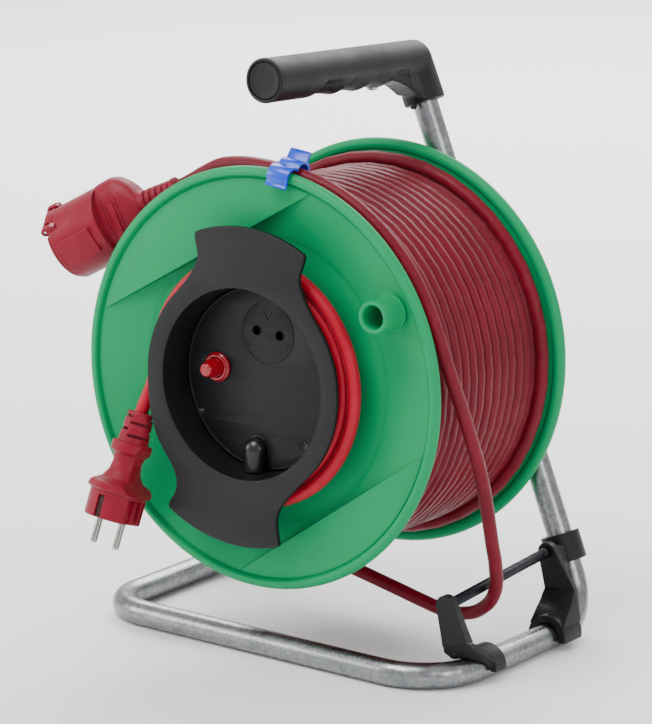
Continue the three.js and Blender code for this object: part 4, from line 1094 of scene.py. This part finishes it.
def lug_outline():
    """The ring's outer outline with both cleats: each has its middle angle, its radius and the points down its flanks."""
    upper = [(78.7, 46.5), (79.4, 42), (81.4, 36.8), (84.3, 32.2), (88.4, 28.6), (93.2, 26.8), (98, 26.3), (103.4, 25.8)]
    low_l = [(78.7, 80), (79.6, 70), (81.6, 60), (83.8, 50), (84.8, 41), (86.2, 34), (89.8, 29), (95.3, 26.4), (101.2, 25.4), (107.4, 25.5)]
    low_r = [(78.7, 49), (79.5, 44), (81, 39.2), (84.2, 33.7), (89.3, 28.8), (94.6, 26.8), (102.3, 25.7), (108.0, 25.3)]
    specs = [(85.5, 107.4, upper, upper), (261.2, 112, low_r, low_l)]

    def pol(r, a):
        return (r * math.cos(math.radians(a)), r * math.sin(math.radians(a)))

    def arc_pts(r, a0, a1, step=3):
        n = max(1, int(abs(a1 - a0) / step))
        return [pol(r, a0 + (a1 - a0) * k / n) for k in range(n + 1)]

    def flank(mid, side, pts):
        return [(q[0], q[2]) for q in catmull([(pol(r, mid + side * o)[0], 0, pol(r, mid + side * o)[1]) for r, o in pts], 34)]
    pts = []
    for j, (mid, R, ccw, cw) in enumerate(specs):
        pts += flank(mid, -1, cw)
        tip = pol(cw[-1][0], mid - cw[-1][1])
        mids = arc_pts(R, mid - 22, mid + 22, 2)
        end = pol(ccw[-1][0], mid + ccw[-1][1])
        pts += rounded([tip, pol(R - 0.2, mid - 25.0)] + mids + [pol(R - 0.2, mid + 25.0), end], [0, 3.0] + [0] * len(mids) + [3.0, 0], 6, closed=False)[1:-1]
        pts += flank(mid, 1, ccw)[::-1]
        nxt = specs[(j + 1) % 2]
        pts += arc_pts(HUB_OUT, mid + ccw[0][1], nxt[0] - nxt[3][0][1] + (360 if j == 1 else 0), 2)[1:-1]
    return pts


rim_out = lug_outline()
face = plate([rim_out, circle(0, 0, HUB_IN, 160)[::-1]], HUB_F, HUB_F + 3.6, 0.75, 3)
wall = lathe(rounded([(HUB_IN + 0.05, HUB_F + 1.2), (68, HUB_F + 1.4), (68, 6.9), (62.1, 6.9), (62.1, 6.1), (63.6, 6.0), (64.0, 3.2), (66.15, HUB_F + 2.0)], [0.1, 0.1, 0.5, 0.3, 0.2, 0.6, 1.5, 0.1], 4), 200)
bead_i = lathe([(HUB_IN - 0.15 + 0.75 * math.cos(t), HUB_F + 0.62 + 0.62 * math.sin(t)) for t in [2 * PI * k / 14 for k in range(14)]], 200)
# the lead goes through the wall behind the lower cleat, out of a boss; the wall is cut for the plate screws
wallb = boolean(wall, [solid_between((x, -6, z), (x, 12, z), [(0, 0), (4.4, 0), (4.4, 18), (0, 18)], 40) for x, z in ((-52.4, -29.1), (34.1, -42.4), (42.4, 42.4))])
exit_boss = boolean(lathe(rounded([(67.2, -13.2), (75.0, -13.2), (75.0, -1.8), (67.2, -1.8)], [0, 1.6, 1.6, 0], 4), 200), [brick2(-93, -84.2)], "INTERSECT")
piece("hub_ring", [face, wallb, bead_i, exit_boss], "black", "drum", "hub_cover", angle=30)

# plate at the bottom of the bowl, with parking holes in an engraved circle
CX, CZ = 4.6, 31.6
PSC = [(-52.4, -29.1), (34.1, -42.4), (42.4, 42.4)]
RST = (-37.4, 3.5)


def arc_slot(cx, cz, r0, r1, a0, a1, n=40):
    A = [math.radians(a0 + (a1 - a0) * k / n) for k in range(n + 1)]
    return [(cx + r1 * math.cos(a), cz + r1 * math.sin(a)) for a in A] + [(cx + r0 * math.cos(a), cz + r0 * math.sin(a)) for a in A[::-1]]


hood_gap = [(-8.6, -44.5), (-8.6, -59.5), (0.2, -59.5), (0.2, -44.5)]
holes = [circle(-5.1, 32.5, 3.3, 32), circle(14.0, 30.8, 3.3, 32), circle(RST[0], RST[1], 7.5, 40), hood_gap[::-1]] + [circle(x, z, 4.2, 32) for x, z in PSC]
grooves = [arc_slot(CX, CZ, 21.0, 21.5, 112, 425), arc_slot(CX, CZ, 18.6, 18.95, 196, 214), arc_slot(CX, CZ, 18.6, 18.95, 326, 344)]
arrow = [(CX - 0.25, CZ + 23.6), (CX - 0.25, CZ + 15.2), (CX - 4.2, CZ + 15.2), (CX, CZ + 8.6), (CX + 4.2, CZ + 15.2), (CX + 0.25, CZ + 15.2), (CX + 0.25, CZ + 23.6)]
arrow_line = [(CX - 3.4, CZ + 15.4), (CX, CZ + 9.8), (CX + 3.4, CZ + 15.4), (CX + 3.9, CZ + 15.1), (CX, CZ + 8.8), (CX - 3.9, CZ + 15.1)]
stem_l = [(CX - 1.9, CZ + 15.4), (CX - 1.9, CZ + 26.5), (CX - 1.5, CZ + 26.5), (CX - 1.5, CZ + 15.4)]
stem_r = [(-x + 2 * CX, z) for x, z in stem_l]
top_skin = plate([circle(0, 0, 62.7, 200)] + holes + grooves + [arrow_line, stem_l, stem_r], 3.0, 3.9, 0.12, 1)
base_holes = [circle(-5.1, 32.5, 3.3, 32), circle(14.0, 30.8, 3.3, 32), circle(RST[0], RST[1], 7.5, 40), hood_gap[::-1]] + [circle(x, z, 2.1, 20) for x, z in PSC]
base_skin = plate([circle(0, 0, 62.8, 200)] + base_holes, 3.4, 5.8, 0.15, 1)
collars = []
for x, z in ((-5.1, 32.5), (14.0, 30.8)):
    V, F = lathe(rounded([(3.25, 2.75), (4.3, 2.75), (4.3, 3.3), (3.25, 5.6)], [0.3, 0.25, 0, 0], 3), 40)
    collars.append(clean([(a + x, b, c + z) for a, b, c in V], F))
liprim = lathe(rounded([(61.4, 3.2), (61.8, 2.55), (62.9, 2.55), (63.2, 3.4)], [0.1, 0.25, 0.25, 0.1], 3), 200)
piece("hub_floor", [top_skin, base_skin, liprim] + collars, "black_smooth", "drum", "hub_plate", angle=30)
for i, (x, z) in enumerate(PSC):
    piece("floor_screw_%d" % (i + 1), oriented(screw_mesh(3.4, 1.1, "pan", 0.9, (1.6, 5.2)), (x, 4.9 if i == 1 else 4.6, z), (0, -1, 0), 0.2 + 0.5 * i), "floor_screw" if i == 0 else "dark_steel", "drum", "plate_screw_%d" % (i + 1))

# hood over the lead's way through the wall
dome = []
for k in range(0, 19):
    t = PI / 2 * k / 18
    dome.append((9.0 * math.cos(t), 9.0 * math.sin(t)))
hood = solid_between((-4.2, 1.2, -66), (-4.2, 1.2, -40.8), [(0, 0), (9.0, 0)] + [(r_, 16.2 + h_) for r_, h_ in dome[:-1]] + [(0, 25.2)], 72)
foot = plate([[(-4.2 + 9.6 * math.cos(t), -49.8 + 9.6 * math.sin(t)) for t in [PI * k / 28 for k in range(29)]] + [(-13.8, -62), (5.4, -62)]], 2.3, 3.6, 0.3, 2)
hood = boolean(hood, [lathe([(0, -20), (64.6, -20), (63.6, 3.4), (0, 3.4)], 120)], "INTERSECT")
piece("lead_hood", [hood, foot], "black_gloss", "drum", "lead_entry_hood", angle=40)

# reset cap: stepped soft button in a red collar
V, F = lathe(rounded([(0, -12.6), (4.0, -12.6), (4.9, -11.0), (5.5, -8.0), (6.4, -5.4), (6.8, -1.2), (6.9, 0.2), (6.9, 7.2), (0, 7.2)], [0, 1.8, 2.4, 4.0, 4.0, 2.0, 0.3, 0.3, 0], 6), 72)
V2, F2 = lathe(rounded([(1.9, -12.62), (2.4, -12.95), (2.9, -12.62), (2.4, -12.4)], 0.2, 3), 48)
piece("reset_cap", [clean([(x + RST[0], y, z + RST[1]) for x, y, z in V], F), clean([(x + RST[0], y, z + RST[1]) for x, y, z in V2], F2)], "cap_red", "reset", "reset_button", angle=40)
V, F = lathe(rounded([(7.2, 2.9), (10.4, 2.9), (10.2, 1.0), (9.2, 0.2), (8.9, -0.9), (7.2, -1.0)], [0.1, 0.5, 0.6, 0.3, 0.5, 0.3], 4), 72)
piece("reset_ring", (([(x + RST[0], y, z + RST[1]) for x, y, z in V]), F), "cap_red", "drum", "reset_collar", angle=40)

for nm, new, mt in (("thermal_cutout", "cutout_housing", "black"), ("terminal_block", "terminal_strip", "white"), ("lead_anchor", "lead_clamp", "black")):
    src = frame["nodes"][nm]
    me = src.data.copy()
    bm = bmesh.new()
    bm.from_mesh(me)
    bmesh.ops.remove_doubles(bm, verts=bm.verts, dist=1e-5)
    bmesh.ops.dissolve_limit(bm, angle_limit=math.radians(1), verts=bm.verts, edges=bm.edges)
    bm.to_mesh(me)
    bm.free()
    me.materials.clear()
    me.materials.append(M[mt])
    o = bpy.data.objects.new(new, me)
    COL.objects.link(o)
    md = o.modifiers.new("v", "BEVEL")
    md.width, md.segments, md.limit_method, md.angle_limit = 0.0005, 2, "ANGLE", math.radians(35)
    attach(o, "drum")
    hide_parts(nm)

# ---------------------------------------------------------------- cable guide
def hull_of(points):
    bm = bmesh.new()
    for p in points:
        bm.verts.new(p)
    r = bmesh.ops.convex_hull(bm, input=bm.verts)
    junk = [g for g in r["geom_interior"] + r["geom_unused"] if isinstance(g, bmesh.types.BMVert)]
    if junk:
        bmesh.ops.delete(bm, geom=list(set(junk)), context="VERTS")
    bmesh.ops.dissolve_limit(bm, angle_limit=math.radians(1.5), verts=bm.verts, edges=bm.edges)
    bmesh.ops.recalc_face_normals(bm, faces=bm.faces)
    me = bpy.data.meshes.new("hull")
    bm.to_mesh(me)
    bm.free()
    return me


def boss_pts(x, z, r, y0, y1, n=32):
    return [(x + r * math.cos(2 * PI * k / n), y, z + r * math.sin(2 * PI * k / n)) for y in (y0, y1) for k in range(n)]


def rod_cut(a, b, r, n=40):
    L = (Vector(b) - Vector(a)).length
    return solid_between(a, b, [(0, 0), (r, 0), (r, L), (0, L)], n)


def brick(x0, x1, y0, y1, z0, z1):
    V = [(x, y, z) for x in (x0, x1) for y in (y0, y1) for z in (z0, z1)]
    return V, [[0, 1, 3, 2], [4, 6, 7, 5], [0, 4, 5, 1], [2, 3, 7, 6], [0, 2, 6, 4], [1, 5, 7, 3]]


def half_clip(y0, y1, ro, low=-3.2):
    c = boolean(rod_cut((BX, y0, ZB), (BX, y1, ZB), ro, 72), [rod_cut((BX, y0 - 2, ZB), (BX, y1 + 2, ZB), TUBE_R + 0.75, 72), brick(BX - 30, BX + 30, y0 - 3, y1 + 3, ZB - 40, ZB + low)])
    return c


RA, RB = Vector((140, 19.6, -139.5)), Vector((137.2, 148.4, -132))
RD = (RB - RA).normalized()
near_tube = [i for i in range(len(tp)) if tp[i].x > 92 and tp[i].z < -95]
tcut = tube_mesh(tp[near_tube[0]:near_tube[-1] + 1], 9.35, 40, start=0)
rprof = [(0, 0), (2.9, 0), (3.6, 0.7), (3.6, 7.9), (3.35, 8.3), (3.6, 8.7), (3.6, (RB - RA).length - 8.7), (3.35, (RB - RA).length - 8.3), (3.6, (RB - RA).length - 7.9), (3.6, (RB - RA).length - 0.7), (2.9, (RB - RA).length), (0, (RB - RA).length)]
piece("guide_rod", solid_between(RA, RB, rprof, 48), "rod", "roller", "guide_roller")

x, z = RA.x, RA.z
b1 = hull_of(boss_pts(x, z, 7.2, 15.2, 20.6) + [(138.2, 15.4, -168), (138.2, 23, -170), (157.3, 15.4, -162.6), (157, 24, -164)])
b2 = hull_of([(138.6, 15.6, -168), (157.2, 15.6, -162.8), (157, 24, -164.2), (139, 16, -171.8), (143.8, 18, -175.6), (150.9, 40, -170.9), (160, 40, -173.6), (166, 40, -181), (163, 40, -186.4), (151, 24, -166)])
bf_ = boolean(b1, [b2, half_clip(38, 51, 14.2, -1.4)], "UNION")
bf_ = boolean(bf_, [rod_cut(RA - RD * 2.6, RA + RD * 6, 4.0), rod_cut((BX, 30, ZB), (BX, 60, ZB), TUBE_R + 0.75, 72), tcut, brick(100, 190, 0, 60, -220, -186.6)], bevel=0.55, segs=3, angle=28)
piece("guide_arm_front", bf_, "black", "frame", "guide_bracket_front", angle=35)

x, z = RB.x, RB.z
uc = Vector((upx(-136), BYR, -136))
UC = UD.normalized()
b0 = rod_cut(uc - UC * 10, uc + UC * 10, 13.8, 72)
a1 = hull_of(boss_pts(x, z, 6.6, 147.2, 152.4) + [(136.8, 147.2, -159), (136.8, 152.4, -159), (160.4, 147.6, -156), (160, 152.6, -157)])
a2 = hull_of([(x - 3, 152, z + 4), (x + 5, 152, z + 4), (x + 13, 152, -150), (x - 1, 152, -150), (x - 2, 170, z + 1), (x + 3, 170, z + 1), (x + 6, 170, -146), (x, 170, -146)])
a3 = hull_of([(136.8, 147.2, -157), (160.4, 147.6, -155.6), (136.8, 152.4, -157), (160.2, 152.4, -156), (138.4, 125.2, -177), (165.6, 125.2, -177), (138.4, 147.6, -177), (165.6, 147.6, -177)])
a3 = boolean(a3, [rod_cut((110, 122, -146), (190, 122, -146), 25.6, 96)])
br = boolean(b0, [a1, a2, a3, half_clip(125, 147.6, 14.8)], "UNION")
br = boolean(br, [rod_cut(uc - UC * 40, uc + UC * 40, TUBE_R + 0.75, 72), rod_cut((BX, 100, ZB), (BX, 152, ZB), TUBE_R + 0.75, 72),
                  brick(uc.x - 7, uc.x + 7, BYR + 4, BYR + 30, -160, -110), rod_cut(RB - RD * 6, RB + RD * 1.4, 4.0), rod_cut((BX, 129, ZB), (BX, 129, ZB + 30), 1.8), tcut], bevel=0.55, segs=3, angle=28)
piece("guide_arm_rear", br, "black", "frame", "guide_bracket_rear", angle=35)

# ---------------------------------------------------------------- clip on the rim
CLA = math.radians(82)
line = [(-7.6, 134.6), (-5.9, 137.6), (-5.9, 142.5), (-4.4, 145.6), (-1.2, 147.2), (2.0, 147.0), (4.4, 145.8), (5.4, 147.4), (8.2, 149.9), (11.6, 149.9), (14.8, 148.3), (16.4, 145.4), (16.6, 141.0)]
fine = catmull([(a_, 0, b_) for a_, b_ in line], 60)
fine = [(p[0], p[2]) for p in fine]
inner, outer = [], []
for i, p in enumerate(fine):
    a_, b_ = fine[max(0, i - 1)], fine[min(len(fine) - 1, i + 1)]
    dx, dy = b_[0] - a_[0], b_[1] - a_[1]
    l_ = math.hypot(dx, dy)
    n_ = (-dy / l_, dx / l_)
    inner.append((p[0] + n_[0] * 0.05, p[1] + n_[1] * 0.05))
    outer.append((p[0] + n_[0] * 1.75, p[1] + n_[1] * 1.75))
sec = inner + outer[::-1]
lip = rounded([(12.4, 150.6), (15.0, 155.4), (17.4, 157.7), (18.4, 156.6), (16.4, 153.4), (15.4, 149.4)], [0, 2, 0.6, 0.4, 2, 0], 4)


def clip_solid(s, w):
    ca, sa = math.cos(CLA), math.sin(CLA)
    V = []
    for t in (-w, w):
        for yy, rr in s:
            V.append((ca * rr + sa * t, yy, sa * rr - ca * t))
    n = len(s)
    me = clean(V, [list(range(n))[::-1], [n + k for k in range(n)]] + [[k, (k + 1) % n, n + (k + 1) % n, n + k] for k in range(n)])
    bm = bmesh.new()
    bm.from_mesh(me)
    bmesh.ops.triangulate(bm, faces=[f for f in bm.faces if len(f.verts) > 4])
    bmesh.ops.recalc_face_normals(bm, faces=bm.faces)
    bm.to_mesh(me)
    bm.free()
    return me


cm = boolean(clip_solid(sec, 8.2), [clip_solid(lip, 8.0), clip_solid([(-6.0, 138.6), (-7.9, 138.9), (-8.1, 141.6), (-6.0, 142.4)], 5.2)], "UNION")
# windows in the clip's back
cm = boolean(cm, [clip_solid([(-1.6, 140), (-1.6, 156), (0.9, 156), (0.9, 140)], 2.6)], bevel=0.35, segs=2, angle=40)
piece("rim_clip", cm, "blue", "frame", "cable_clip", angle=38)

# ---------------------------------------------------------------- plug on the short lead
X_ = Vector((0.98, 0, -0.2))
px_ = (X_ - PLUG_D * X_.dot(PLUG_D)).normalized()
pz_ = px_.cross(PLUG_D)
PM = basis(px_, PLUG_D, pz_, PLUG_AT)


def turned(VF, deg, M4=None):
    """A (V, F) turned about the local Y axis."""
    m = Matrix.Rotation(math.radians(deg), 4, "Y")
    return place(VF, m)


pprof = rounded([(0, 0), (8.7, 0), (9.4, 1.4), (10.8, 21.4), (12.6, 21.5), (14.0, 22.3), (14.0, 28.2), (12.9, 29.0), (11.0, 30.8), (10.0, 35.8), (11.2, 42.6), (14.6, 48.0), (20.2, 50.2), (22.8, 51.8), (22.8, 55.6), (21.4, 56.9), (19.7, 57.1), (19.6, 75.4), (18.9, 76.2), (0, 76.2)],
                [0, 0.8, 0.4, 0.2, 0.3, 0.3, 0.4, 0.5, 3, 6, 6, 4, 2, 1.4, 1.4, 0.5, 0.2, 0.7, 0.3, 0], 5)
pl = lathe(pprof, 120)
cuts = []
for yy in (3.4, 12.6):
    for s in (0, 180):
        cuts.append(turned(brick(-6.6, 6.6, yy - 1.05, yy + 1.05, -16, -5.6), 42 + s))
for yy in (7.8, 16.8):
    for s in (0, 180):
        cuts.append(turned(brick(5.6, 16, yy - 1.05, yy + 1.05, -7.4, 7.4), -42 - 0 + 0 + s + 84))
for s in (-1, 1):
    cuts.append(brick(-2.6, 2.6, 60.2, 84, min(s * 16.6, s * 30), max(s * 16.6, s * 30)))
    cuts.append(rod_cut((s * 9.5, 74.6, 0), (s * 9.5, 84, 0), 2.95, 32))
    cuts.append(brick(min(s * 15.4, s * 30), max(s * 15.4, s * 30), 59.0, 84, -10.4, 10.4))
    cuts.append(brick(min(s * 12.2, s * 30), max(s * 12.2, s * 30), 21.2, 29.6, -20, 20))
    cuts.append(rod_cut((s * 33.2, 37.0, -30), (s * 33.2, 37.0, 30), 24.4, 128))
    for t in (-3, 3):
        cuts.append(rod_cut((s * 14, 37.2, t), (s * 7.6, 37.2, t), 0.55, 12))
plm = boolean(pl, cuts)
ribs_ = []
for s in (-1, 1):
    for t in (-3.4, 3.4):
        ribs_.append(brick(min(s * 15, s * 18.5), max(s * 15, s * 18.8), 57.4, 75.6, t - 0.75, t + 0.75))
plm = boolean(plm, ribs_, "UNION", bevel=0.28, segs=2, angle=42)
plm.transform(PM)
plug_ob = piece("plug_shell", plm, "red_moulded", "drum", "plug_body", angle=36)
for i, s in ((1, -1), (2, 1)):
    pin = lathe(rounded([(0, 65), (2.4, 65), (2.4, 94.2), (1.3, 95.4), (0, 95.4)], [0, 0.3, 1.2, 0.7, 0], 5), 40)
    slv = lathe([(2.4, 76.2), (2.46, 76.5), (2.46, 77.6), (2.4, 77.9)], 40)
    parts_ = []
    for q in (pin, slv):
        V, F = q
        parts_.append(clean(*place(([(a_ + s * 9.5, b_, c_) for a_, b_, c_ in V], F), PM)))
    piece("pin_%d" % i, parts_, "nickel", "drum", "plug_pin_%d" % i)
# earth contacts, in a material darkened as painted shade for their slot
for i, s in ((1, -1), (2, 1)):
    z0, z1 = (16.9, 18.3) if s > 0 else (-18.3, -16.9)
    ec = bevelled(brick(-2.2, 2.2, 60.7, 75.5, z0, z1 - 0.3 if s > 0 else z1), 0.35, 3)
    zz = 18.2 * s
    nub = lathe(rounded([(0, 0), (1.2, 0), (1.0, 0.5), (0, 0.7)], 0.2, 3), 24)
    ec2 = boolean(ec, [])
    ec2.transform(PM)
    piece("earth_%d" % i, ec2, "earth", "drum", "plug_earth_%d" % i)

# ---------------------------------------------------------------- connector on the long cable
Xc = Vector((0, 1, 0))
cx_ = (Xc - CP_D * Xc.dot(CP_D)).normalized()
cz_ = cx_.cross(CP_D)
CM = basis(cx_, CP_D, cz_, CP_AT)
bp = [(0, 0), (6.6, 0), (7.5, 0.8), (7.7, 2.2), (7.4, 3.6), (6.5, 4.2), (6.1, 4.6), (6.1, 5.6)]
for k in range(4):
    y0 = 5.8 + 5.1 * k
    r0, r1 = 7.0 + 0.5 * k, 7.6 + 0.5 * k
    bp += [(r0, y0), (r0 + 0.3, y0 + 0.4), (r1, y0 + 2.9), (r1 - 0.4, y0 + 3.3), (6.2 + 0.42 * k, y0 + 3.6), (6.3 + 0.42 * k, y0 + 4.9)]
bp += [(9.0, 26.2), (9.2, 32), (9.2, 60), (0, 60)]
boot = lathe(bp, 96)
# neck: oval sections, tall behind the shroud and drawn in to the boot
NECK = [(25.9, 8.9, 8.9), (28.6, 9.6, 9.2), (30.2, 10.2, 10.6), (31.4, 10.8, 13.6), (33.8, 11.6, 17.9), (36.9, 12.6, 21.7), (41.1, 13.6, 25.6), (44, 14.5, 27.0), (46, 15.0, 27.5), (50, 15.9, 27.5), (57, 17.4, 27.2), (60, 17.8, 26.4)]
nk = catmull([(y_, a_, b_) for y_, a_, b_ in NECK], 44)
V, F = [], []
NS = 96
for y_, a_, b_ in nk:
    pw = 2.5 if y_ > 34 else 2.0 + 0.5 * smooth((y_ - 28) / 6)
    for k in range(NS):
        t = 2 * PI * k / NS
        c_, s_ = math.cos(t), math.sin(t)
        V.append((a_ * math.copysign(abs(c_) ** (2 / pw), c_), y_, b_ * math.copysign(abs(s_) ** (2 / pw), s_)))
for i in range(len(nk) - 1):
    for k in range(NS):
        F.append([i * NS + k, (i + 1) * NS + k, (i + 1) * NS + (k + 1) % NS, i * NS + (k + 1) % NS])
F.append(list(range(NS)))
F.append([(len(nk) - 1) * NS + k for k in range(NS)][::-1])
slab = (V, F)
panel = bevelled(brick(-16.6, -13, 45.6, 51.4, -20.5, 9.0), 0.3, 2)
line_a = brick(-20, -13.2, 43.2, 43.6, -24, 15)
line_b = brick(-20, -15.4, 53.2, 53.6, -24, 17)
shroud = lathe(rounded([(0, 58.4), (24.4, 58.4), (26.2, 57.0), (26.6, 58.4), (26.6, 96.3), (26.0, 97), (22.6, 97), (22.4, 76), (0, 76)], [0, 1.2, 0.5, 0.5, 0.5, 0.4, 0.4, 0, 0], 4), 144)
ring_ = lathe(rounded([(24.6, 93.6), (26.85, 93.6), (26.85, 96.6), (24.6, 96.6)], 0.35, 3), 144)
pad = bevelled(brick(19, 27.75, 64.4, 92.2, -9.6, 9.6), 0.45, 3)
pad.transform(Matrix.Rotation(math.radians(-201), 4, "Y"))
TURN = Matrix.Rotation(math.radians(-38), 4, "Y")
ears = []
ear_o = rounded([(90, 20.6), (101.8, 20.6), (101.8, 26.7), (92.6, 26.7), (90, 25.4)], [0, 2.6, 3.4, 3, 0], 6)
for t in (-1, 1):
    xa, xb = (9.8, 13.6) if t > 0 else (-13.6, -9.8)
    n_ = len(ear_o)
    V = [(xx, y_, z_) for xx in (xa, xb) for y_, z_ in ear_o]
    e_ = clean(V, [list(range(n_)), [n_ + k for k in range(n_)][::-1]] + [[(k + 1) % n_, k, n_ + k, n_ + (k + 1) % n_] for k in range(n_)])
    e_.transform(TURN)
    ears.append(e_)
lip_ = boolean(lathe(rounded([(25.0, 92.4), (27.35, 93.2), (27.35, 99.4), (26.45, 99.4), (26.45, 94.6), (25.0, 94.6)], [0, 0.6, 0.6, 0.2, 0.4, 0], 3), 144), [brick(-14.4, 14.4, 80, 110, 10, 40)], "INTERSECT")
lip_.transform(TURN)
ears.append(lip_)
cb = boolean(shroud, [pad] + ears, "UNION")
gap_ = as_mesh(brick(-9.8, 9.8, 94.8, 104, 19.5, 26.4))
gap_.transform(TURN)
pinhole = as_mesh(rod_cut((-20, 99.2, 23.4), (20, 99.2, 23.4), 1.5, 24))
pinhole.transform(TURN)
cb = boolean(cb, [gap_, pinhole, lathe([(0, 76), (22.4, 76), (22.6, 99), (0, 99)], 96)], bevel=0.4, segs=2, angle=42)
slab = boolean(slab, [line_a, line_b])
body_parts = []
for q in (boot, slab, panel, cb):
    me = as_mesh(q).copy()
    me.transform(CM)
    body_parts.append(me)
cbody = piece("coupling_shell", body_parts, "red_moulded", "frame", "coupling_body", angle=36)
ins = lathe(rounded([(0, 76.4), (21.6, 76.4), (21.6, 94.2), (19.8, 94.2), (19.6, 78.4), (0, 78.4)], [0, 0.3, 0.5, 0.4, 0.8, 0], 4), 96)
ins = boolean(ins, [rod_cut((t * 9.5, 70, 0), (t * 9.5, 90, 0), 2.8, 32) for t in (-1, 1)], bevel=0.3, segs=2, angle=50)
ins.transform(CM)
cins = piece("socket_face", ins, "black", "frame", "coupling_insert")
ld = lathe(rounded([(0, 97.5), (24.6, 97.5), (25.4, 98.3), (24.6, 100.1), (16, 100.75), (0, 100.8)], [0, 0.3, 0.5, 0.5, 2, 0], 5), 120)
ld = boolean(ld, [brick(-15, 15, 90, 110, 19.2, 30)])
ld = boolean(ld, [bevelled(brick(-9.4, 9.4, 97.5, 101.6, 11, 23.4), 0.5, 2), rod_cut((-9.4, 99.2, 23.4), (9.4, 99.2, 23.4), 2.8, 40)], "UNION")
ld = boolean(ld, [rod_cut((-14, 99.2, 23.4), (14, 99.2, 23.4), 1.5, 24)], bevel=0.25, segs=2, angle=45)
ld.transform(TURN)
ld.transform(CM)
clid = piece("coupling_cap", ld, "red_moulded", "lid", "coupling_lid")
pn = as_mesh(solid_between((-13, 99.2, 23.4), (13, 99.2, 23.4), rounded([(0, 0), (1.2, 0), (1.2, 26), (0, 26)], [0, 0.3, 0.3, 0], 3), 24))
pn.transform(TURN)
pn.transform(CM)
cpin = piece("hinge_pin", pn, "steel", "frame", "lid_pin")


# ---------------------------------------------------------------- studio
def stage_mat():
    m, nt, b = material("studio_floor", lin((246, 246, 246)), 0.62)
    return m


fl = bpy.data.meshes.new("studio_floor")
fl.from_pydata([(-6, -6, 0), (6, -6, 0), (6, 6, 0), (-6, 6, 0)], [], [(0, 1, 2, 3)])
fl.materials.append(stage_mat())
floor = bpy.data.objects.new("studio_floor", fl)
COL.objects.link(floor)


def area(name, loc, aim, size, power, color=(1, 1, 1), sizey=None):
    l = bpy.data.lights.new(name, "AREA")
    l.energy, l.color, l.size = power, color, size
    l.shape = "RECTANGLE"
    l.size_y = sizey or size
    o = bpy.data.objects.new(name, l)
    COL.objects.link(o)
    o.location = loc
    d = (Vector(aim) - Vector(loc)).normalized()
    o.rotation_euler = d.to_track_quat("-Z", "Y").to_euler()
    return o


aim = (0, 0, 0.2)
area("key_top", (-0.35, -1.0, 1.9), aim, 1.2, 30, (1, 1, 1), 0.9)
area("left_soft", (-1.7, -1.2, 0.8), aim, 0.9, 14)
area("right_soft", (1.9, -0.7, 0.9), aim, 0.8, 10)
area("rim_back", (0.5, 1.6, 1.5), aim, 1.2, 8)
area("backdrop", (-1.4, 2.6, 2.3), (-1.6, 2.9, 0), 3.0, 230)
w = bpy.data.worlds.new("studio")
SCN.world = w
w.use_nodes = True
w.node_tree.nodes["Background"].inputs["Color"].default_value = (1, 1, 1, 1)
w.node_tree.nodes["Background"].inputs["Strength"].default_value = 0.90
